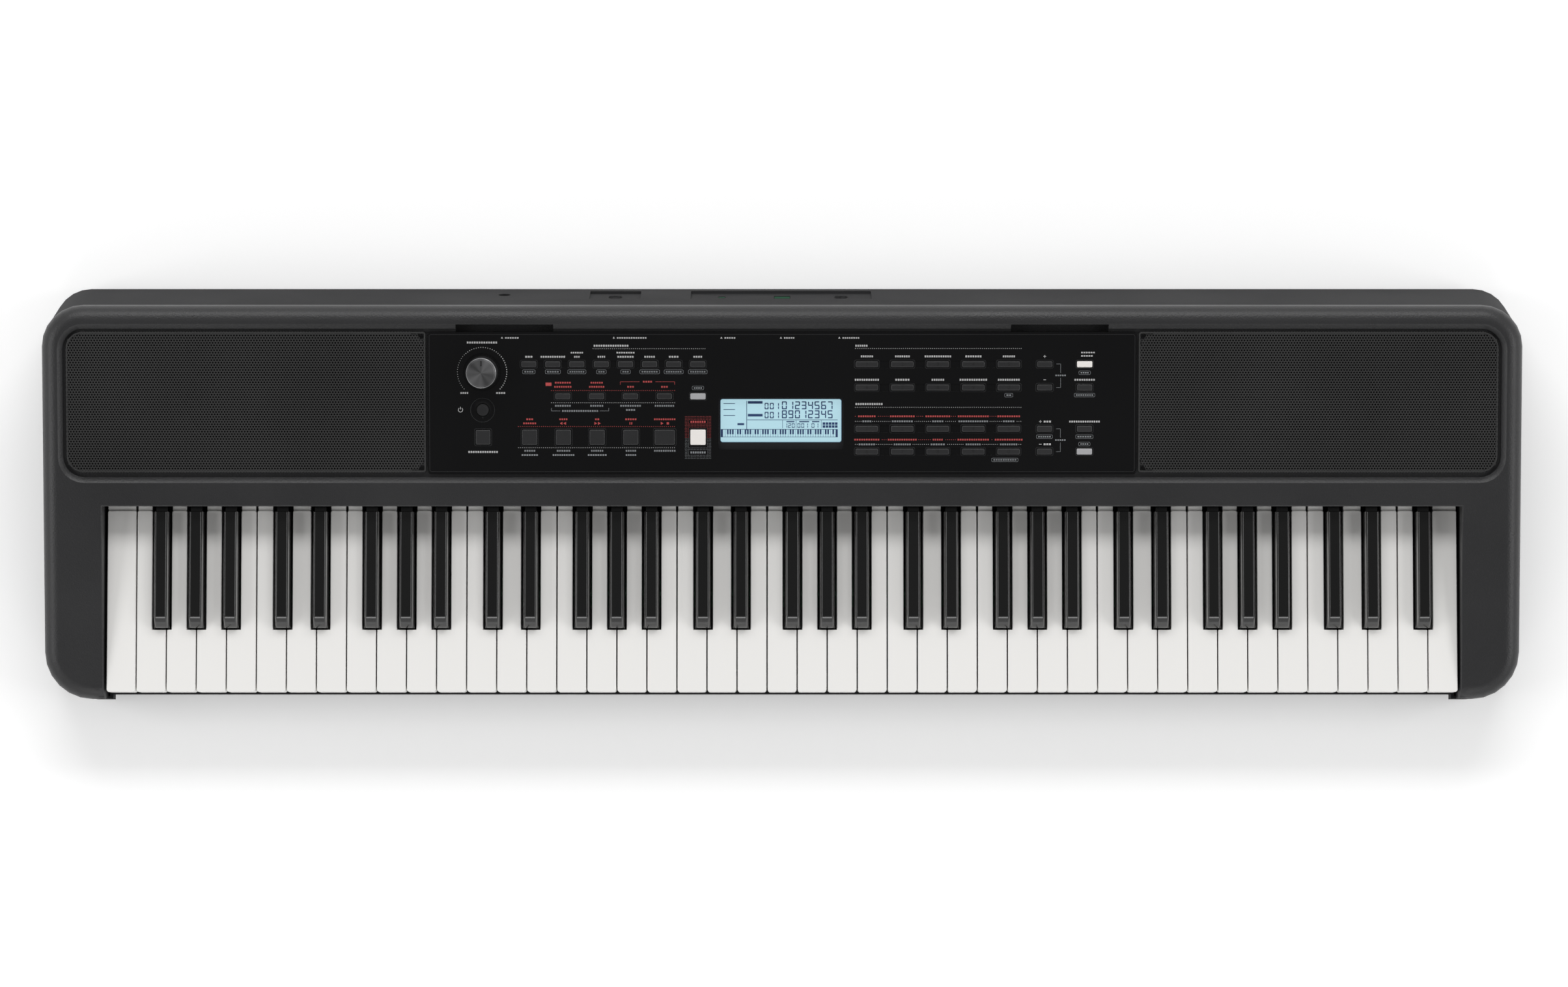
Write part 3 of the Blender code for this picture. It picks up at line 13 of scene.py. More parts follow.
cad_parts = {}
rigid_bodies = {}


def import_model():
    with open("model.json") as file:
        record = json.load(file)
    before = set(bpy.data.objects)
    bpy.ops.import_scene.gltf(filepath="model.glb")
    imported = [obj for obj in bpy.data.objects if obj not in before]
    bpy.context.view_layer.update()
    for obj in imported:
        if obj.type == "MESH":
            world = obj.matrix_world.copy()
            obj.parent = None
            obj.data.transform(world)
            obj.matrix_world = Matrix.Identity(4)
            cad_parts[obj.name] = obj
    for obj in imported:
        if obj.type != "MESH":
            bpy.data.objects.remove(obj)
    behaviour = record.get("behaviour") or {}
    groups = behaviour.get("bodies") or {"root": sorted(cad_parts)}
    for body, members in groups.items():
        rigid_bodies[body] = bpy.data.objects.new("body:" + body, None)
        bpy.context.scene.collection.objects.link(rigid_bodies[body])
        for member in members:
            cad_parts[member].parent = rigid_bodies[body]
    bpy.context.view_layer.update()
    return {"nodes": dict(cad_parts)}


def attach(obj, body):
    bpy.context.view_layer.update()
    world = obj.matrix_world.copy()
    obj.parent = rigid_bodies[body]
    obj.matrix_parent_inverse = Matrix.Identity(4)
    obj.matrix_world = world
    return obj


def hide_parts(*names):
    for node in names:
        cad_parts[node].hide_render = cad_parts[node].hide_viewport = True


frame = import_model()

# %% [markdown]
# The photograph looks down at the instrument from far away, a little from the player's side. A long
# lens at that distance gives almost parallel lines, which is why the white keys look equally wide.

# %% The camera
CAMERA_AT = Vector((0.0015, -0.272, 4.354))
LOOK_AT = Vector((0.0015, -0.0024, 0.062))
LENS_MM, SENSOR_MM = 126.0, 36.0

camera = bpy.data.objects.new("camera", bpy.data.cameras.new("camera"))
bpy.context.scene.collection.objects.link(camera)
camera.location = CAMERA_AT
camera.rotation_euler = (LOOK_AT - CAMERA_AT).to_track_quat("-Z", "Y").to_euler()
camera.data.lens = LENS_MM
camera.data.sensor_width = SENSOR_MM
camera.data.clip_end = 50
bpy.context.scene.camera = camera

# %% [markdown]
# Lengths below are real ones in millimetres. The top of the case slopes, so what lies on it is
# placed in a frame of its own: u along the keys, v up the slope, w square to it.

# %% Sizes that the pieces share
MM = 0.001
SLOPE_DEG = 8.2
LIP_Y, LIP_Z = -13.935, 84.5
PANEL_HALF, PANEL_FRONT, PANEL_REAR = 276.0, 25.1, 136.0
PANEL_TOP, PANEL_BOTTOM = -2.5, -5.2
CAP_TOP = -1.2
WHITE_TOP, WHITE_BOTTOM = 62.0, 42.5
BLACK_TOP, BLACK_BOTTOM = 74.0, 46.0
KEY_FRONT, CAP_REAR, NOTCH = -157.735, -15.735, -109.035
HINGE_Y = 36.265
PITCH = 23.5
LETTERS = "EFGAB" + "CDEFGAB" * 5 + "CDEFG"
SPAN = PITCH * len(LETTERS)
BLACK_SHIFT = {"C": -3.05, "D": 3.05, "F": -3.6, "G": 0.0, "A": 3.6}
BLACK_SLOT = 15.1

SLOPE = Matrix.Translation((0, LIP_Y * MM, LIP_Z * MM)) @ Matrix.Rotation(math.radians(SLOPE_DEG), 4, "X")


def slope_point(u, v, w):
    """A point of the sloping frame, in metres in the row's frame."""
    return SLOPE @ (Vector((u, v, w)) * MM)


# %% [markdown]
# Small mesh helpers. Each makes a bmesh in millimetres turned to metres, so pieces can be joined,
# tilted to the slope and given a finish in one place.

# %% Mesh helpers


def box_mesh(low, high):
    shape = bmesh.new()
    bmesh.ops.create_cube(shape, size=1.0)
    size = [(b - a) * MM for a, b in zip(low, high)]
    middle = [(a + b) / 2 * MM for a, b in zip(low, high)]
    bmesh.ops.transform(shape, matrix=Matrix.LocRotScale(middle, None, size), verts=shape.verts)
    return shape


def arc(centre, radius, start, end, steps):
    points = []
    for i in range(steps + 1):
        angle = math.radians(start + (end - start) * i / steps)
        points.append((centre[0] + radius * math.cos(angle), centre[1] + radius * math.sin(angle)))
    return points


def rounded(left, front, right, rear, radii, steps=6):
    a, b, c, d = radii
    points = arc((left + a, front + a), a, 180, 270, steps)
    points += arc((right - b, front + b), b, 270, 360, steps)
    points += arc((right - c, rear - c), c, 0, 90, steps)
    points += arc((left + d, rear - d), d, 90, 180, steps)
    return points


def around(centre, size, radius, steps=4):
    x, y = centre
    w, h = size[0] / 2, size[1] / 2
    return rounded(x - w, y - h, x + w, y + h, (radius,) * 4, steps)


def plate_mesh(outlines, low, high):
    """Outlines filled and given a thickness. An outline inside another is a hole in it."""
    curve = bpy.data.curves.new("outline", "CURVE")
    curve.dimensions = "2D"
    curve.fill_mode = "BOTH"
    curve.extrude = (high - low) / 2 * MM
    for outline in outlines:
        spline = curve.splines.new("POLY")
        spline.points.add(len(outline) - 1)
        for point, (x, y) in zip(spline.points, outline):
            point.co = (x * MM, y * MM, 0, 1)
        spline.use_cyclic_u = True
    holder = bpy.data.objects.new("outline", curve)
    mesh = bpy.data.meshes.new_from_object(holder)
    shape = bmesh.new()
    shape.from_mesh(mesh)
    bpy.data.objects.remove(holder)
    bpy.data.curves.remove(curve)
    bpy.data.meshes.remove(mesh)
    bmesh.ops.remove_doubles(shape, verts=shape.verts, dist=1e-6)
    bmesh.ops.dissolve_limit(shape, angle_limit=0.001, verts=shape.verts, edges=shape.edges)
    bmesh.ops.translate(shape, vec=(0, 0, (low + high) / 2 * MM), verts=shape.verts)
    bmesh.ops.recalc_face_normals(shape, faces=shape.faces)
    return shape


def soften(shape, radius, segments, chosen):
    """Rounds the edges whose two ends pass the test."""
    edges = [e for e in shape.edges if all(chosen(v.co / MM) for v in e.verts)]
    edges = [e for e in edges if e.calc_face_angle(0) > 0.3]
    bmesh.ops.bevel(
        shape, geom=edges, offset=radius * MM, segments=segments,
        profile=0.5, affect="EDGES", clamp_overlap=True,
    )
    return shape


def loft_mesh(rings):
    shape = bmesh.new()
    rows = [[shape.verts.new(Vector(point) * MM) for point in ring] for ring in rings]
    count = len(rows[0])
    for row, after in zip(rows, rows[1:]):
        for i in range(count):
            j = (i + 1) % count
            shape.faces.new((row[i], row[j], after[j], after[i]))
    shape.faces.new(rows[0])
    shape.faces.new(rows[-1])
    bmesh.ops.recalc_face_normals(shape, faces=shape.faces)
    return shape


def turned_mesh(profile, steps, centre=(0, 0, 0)):
    """A round shape from radii and heights, from the top down its outer side."""
    rings = []
    shape = bmesh.new()
    cx, cy, cz = centre
    for radius, height in profile:
        if radius < 1e-6:
            rings.append([shape.verts.new(Vector((cx, cy, cz + height)) * MM)])
            continue
        ring = []
        for i in range(steps):
            angle = 2 * math.pi * i / steps
            x, y = cx + radius * math.cos(angle), cy + radius * math.sin(angle)
            ring.append(shape.verts.new(Vector((x, y, cz + height)) * MM))
        rings.append(ring)
    for a, b in zip(rings, rings[1:]):
        for i in range(steps):
            j = (i + 1) % steps
            around_face = (a[i % len(a)], a[j % len(a)], b[j % len(b)], b[i % len(b)])
            corners = list(dict.fromkeys(around_face))
            if len(corners) > 2:
                shape.faces.new(corners)
    bmesh.ops.recalc_face_normals(shape, faces=shape.faces)
    return shape


def joined(shapes):
    """One bmesh that holds all the shapes."""
    whole = bmesh.new()
    for shape in shapes:
        mesh = bpy.data.meshes.new("joining")
        shape.to_mesh(mesh)
        shape.free()
        whole.from_mesh(mesh)
        bpy.data.meshes.remove(mesh)
    return whole


def tilted(shape):
    bmesh.ops.transform(shape, matrix=SLOPE, verts=shape.verts)
    return shape


# %% [markdown]
# Shader node groups hold what several finishes share: the fine grain of moulded plastic, the slow change of
# sheen that handling leaves, and the rings of a spun metal face with the light and dark fans of its painted
# reflection.

# %% Shader groups


def fill(tree, node, inputs):
    """Gives a node's inputs plain values, or links from other nodes."""
    for label, value in inputs.items():
        if isinstance(value, bpy.types.NodeSocket):
            tree.links.new(value, node.inputs[label])
        else:
            node.inputs[label].default_value = value
    return node


def add(tree, kind, inputs=None, **settings):
    node = tree.nodes.new(kind)
    for label, value in settings.items():
        setattr(node, label, value)
    return fill(tree, node, inputs or {})


def math_node(tree, operation, a, b=0.0):
    return add(tree, "ShaderNodeMath", {0: a, 1: b}, operation=operation).outputs[0]


def shader_group(name, inputs, outputs):
    group = bpy.data.node_groups.new(name, "ShaderNodeTree")
    for label, kind, value in inputs:
        socket = group.interface.new_socket(label, in_out="INPUT", socket_type=kind)
        socket.default_value = value
    for label in outputs:
        group.interface.new_socket(label, in_out="OUTPUT", socket_type="NodeSocketFloat")
    return group, group.nodes.new("NodeGroupInput"), group.nodes.new("NodeGroupOutput")


def grain_group():
    """Fine pits of a moulded surface, with a height for the bump and a slow change of sheen."""
    group, ins, outs = shader_group(
        "moulded_grain",
        [("Scale", "NodeSocketFloat", 900.0), ("Patch Scale", "NodeSocketFloat", 9.0)],
        ("Height", "Sheen"))
    place = add(group, "ShaderNodeTexCoord").outputs["Object"]
    scale = ins.outputs["Scale"]
    pits = add(group, "ShaderNodeTexVoronoi", {"Vector": place, "Scale": scale}, feature="SMOOTH_F1")
    finer = math_node(group, "MULTIPLY", scale, 1.7)
    fine = add(group, "ShaderNodeTexNoise", {"Vector": place, "Scale": finer, "Detail": 2})
    both = math_node(group, "ADD", pits.outputs["Distance"], fine.outputs["Fac"])
    patch = add(group, "ShaderNodeTexNoise", {
        "Vector": place, "Scale": ins.outputs["Patch Scale"], "Detail": 4})
    fill(group, outs, {
        "Height": math_node(group, "MULTIPLY", both, 0.5), "Sheen": patch.outputs["Fac"]})
    return group


def rings_and_painted_fans_group():
    """Fine turning marks round an axis for a spun metal face, and light and dark fans round the axis that are
    a painted reflection.
    """
    group, ins, outs = shader_group(
        "turning_marks_and_painted_fans",
        [("Centre", "NodeSocketVector", (0, 0, 0)), ("Fineness", "NodeSocketFloat", 9000.0)],
        ("Height", "Painted Fans"))
    place = add(group, "ShaderNodeTexCoord").outputs["Object"]
    away = add(group, "ShaderNodeVectorMath", {0: place, 1: ins.outputs["Centre"]},
               operation="SUBTRACT").outputs[0]
    radius = add(group, "ShaderNodeVectorMath", {0: away}, operation="LENGTH").outputs["Value"]
    marks = add(group, "ShaderNodeTexNoise", {
        "W": radius, "Scale": ins.outputs["Fineness"], "Detail": 2}, noise_dimensions="1D")
    apart = add(group, "ShaderNodeSeparateXYZ", {0: away})
    angle = math_node(group, "ARCTAN2", apart.outputs["Y"], apart.outputs["X"])
    # painted reflection: light and dark fans by angle round the axis, which later darken and lighten the base
    # colour of a spun face
    painted_fans = 0.5
    for count, share in ((2.0, 0.32), (7.0, 0.18)):
        wave = math_node(group, "SINE", math_node(group, "MULTIPLY", angle, count))
        painted_fans = math_node(group, "ADD", math_node(group, "MULTIPLY", wave, share), painted_fans)
    fill(group, outs, {"Height": marks.outputs["Fac"], "Painted Fans": painted_fans})
    return group


GRAIN = grain_group()
RINGS_AND_PAINTED_FANS = rings_and_painted_fans_group()

# %% [markdown]
# A finish is a Principled shader with its own colour, and what varies over the surface comes from
# the shared groups: bump from the grain and a little change in roughness from the sheen.

# %% Finishes


def between(tree, factor, low, high):
    """A colour between two others."""
    return add(tree, "ShaderNodeMix", {0: factor, 6: (*low, 1), 7: (*high, 1)}, data_type="RGBA").outputs[2]


def bump(tree, height, strength, distance):
    return add(tree, "ShaderNodeBump", {
        "Height": height, "Strength": strength, "Distance": distance}).outputs["Normal"]


def plain_material(name):
    made = bpy.data.materials.new(name)
    made.use_nodes = True
    return made, made.node_tree, made.node_tree.nodes["Principled BSDF"]


def finish(name, colour, roughness, metallic=0.0, grain=0.0, scale=900.0, spread=0.08, tint=0.12,
           coat=0.0, specular=0.5):
    """A material whose roughness and colour drift a little, over a moulded grain."""
    made, tree, shader = plain_material(name)
    group = add(tree, "ShaderNodeGroup", {"Scale": scale}, node_tree=GRAIN)
    drift = group.outputs["Sheen"]
    sheen = add(tree, "ShaderNodeMapRange", {
        "Value": drift, "From Min": 0.3, "From Max": 0.7,
        "To Min": roughness - spread / 2, "To Max": roughness + spread / 2})
    low, high = [[min(1.0, c * (1 + change)) for c in colour] for change in (-tint, tint)]
    fill(tree, shader, {
        "Base Color": between(tree, drift, low, high), "Roughness": sheen.outputs["Result"],
        "Metallic": metallic, "Specular IOR Level": specular,
        "Coat Weight": coat, "Coat Roughness": 0.06})
    if grain:
        fill(tree, shader, {"Normal": bump(tree, group.outputs["Height"], grain, 0.0003)})
    return made


case_top = finish("case_top_grain", (0.019, 0.019, 0.020), 0.44, grain=0.8, scale=800, specular=0.45)
case_base = finish("case_base_grain", (0.016, 0.016, 0.017), 0.65, grain=0.3, scale=1400, specular=0.12)
panel_gloss = finish("panel_gloss", (0.0035, 0.0035, 0.0038), 0.2, grain=0.03, scale=500, spread=0.04)
grille_paint = finish("grille_paint", (0.024, 0.024, 0.024), 0.45, grain=0.1, scale=2500)
key_white = finish("key_white", (0.84, 0.83, 0.81), 0.3, grain=0.0, scale=300, spread=0.02, tint=0.008)
key_black = finish("key_black", (0.006, 0.006, 0.006), 0.2, grain=0.03, scale=1800, spread=0.04, coat=0.8)
cap_dark = finish("cap_dark", (0.017, 0.017, 0.018), 0.42, grain=0.15, scale=2500)
cap_white = finish("cap_white", (0.80, 0.77, 0.74), 0.4, grain=0.1, scale=2500, tint=0.03)
cap_light = finish("cap_light", (0.36, 0.36, 0.37), 0.4, grain=0.1, scale=2500, tint=0.04)
bezel_grey = finish("bezel_grey", (0.014, 0.014, 0.015), 0.3, spread=0.04)
socket_black = finish("socket_black", (0.012, 0.012, 0.013), 0.5, grain=0.1, scale=2500, specular=0.3)
steel = finish("steel", (0.55, 0.55, 0.56), 0.3, metallic=1.0, spread=0.1)
rubber = finish("foot_rubber", (0.03, 0.03, 0.03), 0.8, grain=0.4, scale=2000)
board_green = finish("board_green", (0.02, 0.10, 0.05), 0.5, grain=0.1, scale=600)
cone_paper = finish("cone_paper", (0.012, 0.012, 0.013), 0.75, grain=0.3, scale=1500)
frame_grey = finish("frame_grey", (0.03, 0.03, 0.03), 0.6, grain=0.2, scale=1400)
ink_light = finish("ink_light", (0.42, 0.42, 0.42), 0.5, spread=0.03)
ink_grey = finish("ink_grey", (0.20, 0.21, 0.22), 0.5, spread=0.03)
ink_red = finish("ink_red", (0.40, 0.055, 0.055), 0.5, spread=0.03)
ink_dark = finish("ink_dark", (0.005, 0.005, 0.005), 0.5, spread=0.03)
# painted highlight: a thin line a little lighter than the panel, for light caught along the panel's edge step
painted_edge_highlight = finish("painted_edge_highlight", (0.022, 0.022, 0.023), 0.35, spread=0.03)


def spun_metal(name, colour, centre):
    """Brushed in rings about its centre, with light and dark fans of painted reflection in its colour."""
    made = finish(name, colour, 0.32, metallic=1.0, spread=0.02, tint=0.02)
    tree = made.node_tree
    marks = add(tree, "ShaderNodeGroup", {"Centre": centre}, node_tree=RINGS_AND_PAINTED_FANS)
    # painted reflection: the base colour darkens and lightens in fans round the centre, and the turning marks
    # give the bump
    fill(tree, tree.nodes["Principled BSDF"], {
        "Normal": bump(tree, marks.outputs["Height"], 0.25, 0.00005),
        "Base Color": between(tree, marks.outputs["Painted Fans"], [c * 0.4 for c in colour], colour)})
    return made


def glow(name, colour, strength):
    """A lit surface: a dark base with its own light."""
    made = finish(name, [c * 0.3 for c in colour], 0.3, spread=0.02)
    fill(made.node_tree, made.node_tree.nodes["Principled BSDF"], {
        "Emission Color": (*colour, 1), "Emission Strength": strength})
    return made


def clear_window(name):
    made, tree, shader = plain_material(name)
    fill(tree, shader, {"Base Color": (0.02, 0.02, 0.025, 1), "Roughness": 0.04, "Alpha": 0.12})
    return made


screen_glow = glow("screen_glow", (0.49, 0.75, 0.84), 0.98)
screen_ink = finish("screen_ink", (0.035, 0.075, 0.21), 0.4, spread=0.02)
screen_edge = glow("screen_edge", (0.10, 0.28, 0.50), 0.6)
window_clear = clear_window("window_clear")
print("finishes", len(bpy.data.materials))

# %% [markdown]
# Every piece rides on a body of the model, takes the finish that it is given, and may stand for one of
# the solids. Smooth shading with sharp creases and weighted normals makes the few facets of a moulded
# corner read as one curve, and keeps the flat faces flat.

# %% Pieces


def shade(thing, angle=32):
    thing.data.shade_smooth()
    thing.data.set_sharp_from_angle(angle=math.radians(angle))
    weigh = thing.modifiers.new("Weighted Normal", "WEIGHTED_NORMAL")
    weigh.keep_sharp = True
    weigh.weight = 100
    return thing


def piece(name, shape, look, body, stands_for=(), angle=32):
    mesh = bpy.data.meshes.new(name)
    shape.to_mesh(mesh)
    shape.free()
    return mesh_piece(name, mesh, look, body, stands_for, angle)


def mesh_piece(name, mesh, look, body, stands_for=(), angle=32):
    thing = bpy.data.objects.new(name, mesh)
    bpy.context.scene.collection.objects.link(thing)
    if look is not None:
        mesh.materials.clear()
        mesh.materials.append(look)
    shade(thing, angle)
    if stands_for:
        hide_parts(*stands_for)
    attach(thing, body)
    return thing


def smooth_copy(node, look, body, angle=32):
    """The solid's own shape, with its triangles joined so that its curves shade as curves."""
    shape = bmesh.new()
    shape.from_mesh(frame["nodes"][node].data)
    bmesh.ops.remove_doubles(shape, verts=shape.verts, dist=2e-6)
    bmesh.ops.dissolve_limit(
        shape, angle_limit=math.radians(0.6), verts=shape.verts, edges=shape.edges)
    return piece(f"{node}_skin", shape, look, body, (node,), angle)


def paint(node, look):
    """A new finish on a solid that is shown as it is."""
    mesh = frame["nodes"][node].data
    mesh.materials.clear()
    mesh.materials.append(look)


for node, look, slot in (
    ("upper_case", case_top, "case_black"), ("lower_case", case_base, "case_black"),
    ("control_panel", panel_gloss, "panel_gloss"), ("speaker_left", cone_paper, "speaker_cone"),
    ("speaker_right", cone_paper, "speaker_cone"), ("lcd_window", window_clear, "window_clear"),
    ("phones_jack", socket_black, "socket_black"), ("sustain_jack", socket_black, "socket_black"),
):
    smooth_copy(node, look, "case")
smooth_copy("battery_cover", case_base, "battery_cover")
for node, look in (
    ("lcd_module", socket_black), ("volume_control", steel), ("panel_board", board_green),
    ("jack_board", board_green), ("main_board", board_green), ("contact_board", board_green),
    ("key_frame", frame_grey), ("foot_front_left", rubber), ("foot_front_right", rubber),
    ("foot_rear_right", rubber), ("foot_rear_left", rubber),
):
    paint(node, look)

# %% [markdown]
# Geometry Nodes stamp a shape on points. Each point carries a number that picks the shape from a
# collection, so one tree serves the black keys, the round marks of several sizes and the screws.

# %% The stamping tree


def geometry_tree(name, inputs):
    tree = bpy.data.node_groups.new(name, "GeometryNodeTree")
    tree.is_modifier = True
    tree.interface.new_socket("Geometry", in_out="OUTPUT", socket_type="NodeSocketGeometry")
    tree.interface.new_socket("Geometry", in_out="INPUT", socket_type="NodeSocketGeometry")
    for label, kind, value in inputs:
        socket = tree.interface.new_socket(label, in_out="INPUT", socket_type=kind)
        if value is not None:
            socket.default_value = value
    return tree, tree.nodes.new("NodeGroupInput"), tree.nodes.new("NodeGroupOutput")


def dressed(tree, ins, outs, instances, weld=0.0):
    """Ends a tree: real meshes in place of instances, with the material that it was given."""
    real = add(tree, "GeometryNodeRealizeInstances", {"Geometry": instances}).outputs["Geometry"]
    if weld:
        real = add(tree, "GeometryNodeMergeByDistance", {
            "Geometry": real, "Distance": weld}).outputs["Geometry"]
    dress = add(tree, "GeometryNodeSetMaterial", {
        "Geometry": real, "Material": ins.outputs["Material"]})
    fill(tree, outs, {"Geometry": dress.outputs["Geometry"]})
    return tree


def stamp_tree():
    tree, ins, outs = geometry_tree("stamp_shapes", [
        ("Shapes", "NodeSocketCollection", None), ("Material", "NodeSocketMaterial", None)])
    shapes = add(tree, "GeometryNodeCollectionInfo", {
        "Collection": ins.outputs["Shapes"], "Separate Children": True, "Reset Children": True})
    which = add(tree, "GeometryNodeInputNamedAttribute", {"Name": "shape"}, data_type="INT")
    stamp = add(tree, "GeometryNodeInstanceOnPoints", {
        "Points": ins.outputs["Geometry"], "Instance": shapes.outputs["Instances"],
        "Pick Instance": True, "Instance Index": which.outputs["Attribute"]})
    return dressed(tree, ins, outs, stamp.outputs["Instances"])


def set_input(modifier, label, value):
    for item in modifier.node_group.interface.items_tree:
        if item.item_type == "SOCKET" and item.in_out == "INPUT" and item.name == label:
            modifier[item.identifier] = value


def grown(name, points, tree, values):
    """Runs a tree on a mesh of loose points and returns the plain mesh that it makes."""
    mesh = bpy.data.meshes.new(name)
    mesh.from_pydata([p for p, kind in points], [], [])
    picks = mesh.attributes.new("shape", "INT", "POINT")
    picks.data.foreach_set("value", [kind for p, kind in points])
    thing = bpy.data.objects.new(name, mesh)
    bpy.context.scene.collection.objects.link(thing)
    modifier = thing.modifiers.new("Nodes", "NODES")
    modifier.node_group = tree
    for label, value in values.items():
        set_input(modifier, label, value)
    graph = bpy.context.evaluated_depsgraph_get()
    made = bpy.data.meshes.new_from_object(thing.evaluated_get(graph))
    bpy.data.objects.remove(thing)
    bpy.data.meshes.remove(mesh)
    made.name = name
    return made


def shape_collection(name, shapes):
    """Shapes in a collection of their own, in the order in which points pick them."""
    group = bpy.data.collections.new(name)
    bpy.context.scene.collection.children.link(group)
    for i, shape in enumerate(shapes):
        mesh = bpy.data.meshes.new(f"{name}_{i:02d}")
        shape.to_mesh(mesh)
        shape.free()
        group.objects.link(bpy.data.objects.new(f"{name}_{i:02d}", mesh))
    return group


def drop_collection(group):
    for thing in list(group.objects):
        bpy.data.objects.remove(thing)
    bpy.data.collections.remove(group)


STAMP = stamp_tree()

# %% [markdown]
# A white key is a flat outline with a wide head and a tail cut away beside the black keys. Its front
# corners and all its top edges are rounded, which catches the light in a thin bright line.

# %% White keys
SIDE_GAP = 0.5
ARM_WIDTH, ARM_REAR, HINGE_HALF = 9.0, 24.2, 0.7
BAR_LOW, BAR_STEP = 46.0, 2.8
FRONT_CORNER, REAR_CORNER, TOP_ROUND = 2.0, 1.3, 0.7
NOTCH_CHAMFER = 0.4


def key_arm(middle, front, top, bar_z):
    """The arm that runs back from a key, and the thin hinge between the arm and its bar."""
    left, right, low = middle - ARM_WIDTH / 2, middle + ARM_WIDTH / 2, bar_z - HINGE_HALF
    arm = box_mesh((left, front, low), (right, ARM_REAR, top))
    hinge = box_mesh((left, ARM_REAR - 1, low), (right, HINGE_Y - 2, bar_z + HINGE_HALF))
    return [arm, hinge]


def hinge_bar(first, last, bar_z):
    left = -SPAN / 2 + first * PITCH + SIDE_GAP
    right = -SPAN / 2 + (last + 1) * PITCH - SIDE_GAP
    return box_mesh((left, HINGE_Y - 3, bar_z - 1.2), (right, HINGE_Y + 3, bar_z + 1.2))


def white_bounds(index):
    """Sides of a white key's head, and of its tail between the black keys."""
    left = -SPAN / 2 + index * PITCH + SIDE_GAP
    right = left + PITCH - 2 * SIDE_GAP
    before = LETTERS[index - 1] if index else ""
    tail_left, tail_right = left, right
    if before in BLACK_SHIFT:
        tail_left = max(left, left - SIDE_GAP + BLACK_SHIFT[before] + BLACK_SLOT / 2)
    if LETTERS[index] in BLACK_SHIFT and index < len(LETTERS) - 1:
        tail_right = min(right, right + SIDE_GAP + BLACK_SHIFT[LETTERS[index]] - BLACK_SLOT / 2)
    return left, right, tail_left, tail_right


def white_key(index, bar_z):
    left, right, tail_left, tail_right = white_bounds(index)
    outline = arc((left + FRONT_CORNER, KEY_FRONT + FRONT_CORNER), FRONT_CORNER, 180, 270, 5)
    outline += arc((right - FRONT_CORNER, KEY_FRONT + FRONT_CORNER), FRONT_CORNER, 270, 360, 5)
    if right - tail_right > 1:
        outline += [(right, NOTCH - NOTCH_CHAMFER), (right - NOTCH_CHAMFER, NOTCH), (tail_right, NOTCH)]
    outline += arc((tail_right - REAR_CORNER, CAP_REAR - REAR_CORNER), REAR_CORNER, 0, 90, 4)
    outline += arc((tail_left + REAR_CORNER, CAP_REAR - REAR_CORNER), REAR_CORNER, 90, 180, 4)
    if tail_left - left > 1:
        outline += [(tail_left, NOTCH), (left + NOTCH_CHAMFER, NOTCH), (left, NOTCH - NOTCH_CHAMFER)]
    cap = plate_mesh([outline], WHITE_BOTTOM, WHITE_TOP)
    soften(cap, TOP_ROUND, 3, lambda p: p.z > WHITE_TOP - 0.01)
    shelf = box_mesh((tail_left + 0.5, CAP_REAR - 3, WHITE_BOTTOM + 8),
                     (tail_right - 0.5, CAP_REAR + 6, WHITE_TOP - 1.2))
    middle = (tail_left + tail_right) / 2
    return [cap, shelf, *key_arm(middle, CAP_REAR - 1, WHITE_TOP - 1.5, bar_z)]


SETS = [("low", 0, 4)] + [(f"octave_{k + 1}", 5 + 7 * k, 11 + 7 * k) for k in range(5)] + [("high", 40, 44)]
for name, first, last in SETS:
    for level, (row, letters) in enumerate((("a", "CEGB"), ("b", "DFA"))):
        bar_z = BAR_LOW + BAR_STEP * level
        shapes = [hinge_bar(first, last, bar_z)]
        for index in range(first, last + 1):
            if LETTERS[index] in letters:
                shapes += white_key(index, bar_z)
        node = f"white_keys_{name}_{row}"
        piece(f"{node}_fine", joined(shapes), key_white, node, (node,))

# %% [markdown]
# All black keys have one shape, so the tree stamps them on the points between the white keys. Along
# its length the section stays the same, and at the front the top falls away in a smooth scoop.

# %% Black keys
BLACK_BAR = BAR_LOW + 2 * BAR_STEP
SCOOP_LENGTH, SCOOP_DROP, SCOOP_STEPS = 9.6, 9.4, 12
NOSE_Y, NOSE_FACE, NOSE_ROUND, NOSE_SHRINK = NOTCH + 1.0, 1.2, 0.25, 0.985


def black_ring(y, top):
    """Section of a black key: upright sides, flanks that lean in, a bevel and a narrow flat top."""
    foot = min(WHITE_TOP + 0.5, top - 2.6)
    half = [(6.3, BLACK_BOTTOM), (6.3, foot - 0.6), (6.1, foot), (5.0, top - 1.9)]
    half += [(4.86, top - 1.3), (4.5, top - 0.72), (4.05, top - 0.3), (3.6, top)]
    return [(x, y, z) for x, z in half] + [(-x, y, z) for x, z in reversed(half)]


def black_key_shape():
    rings = [black_ring(CAP_REAR - 1.4, BLACK_TOP - 0.5), black_ring(CAP_REAR - 1.9, BLACK_TOP)]
    for i in range(SCOOP_STEPS):
        t = i / SCOOP_STEPS
        rings.append(black_ring(NOSE_Y + SCOOP_LENGTH * (1 - t), BLACK_TOP - SCOOP_DROP * t ** 1.5))
    edge = black_ring(NOSE_Y + NOSE_ROUND, BLACK_TOP - SCOOP_DROP)
    rings.append([(x * NOSE_SHRINK, y, z) for x, y, z in edge])
    rings.append(black_ring(NOSE_Y, BLACK_TOP - SCOOP_DROP - NOSE_FACE))
    return joined([loft_mesh(rings), *key_arm(0, CAP_REAR - 3, WHITE_TOP + 4, BLACK_BAR)])


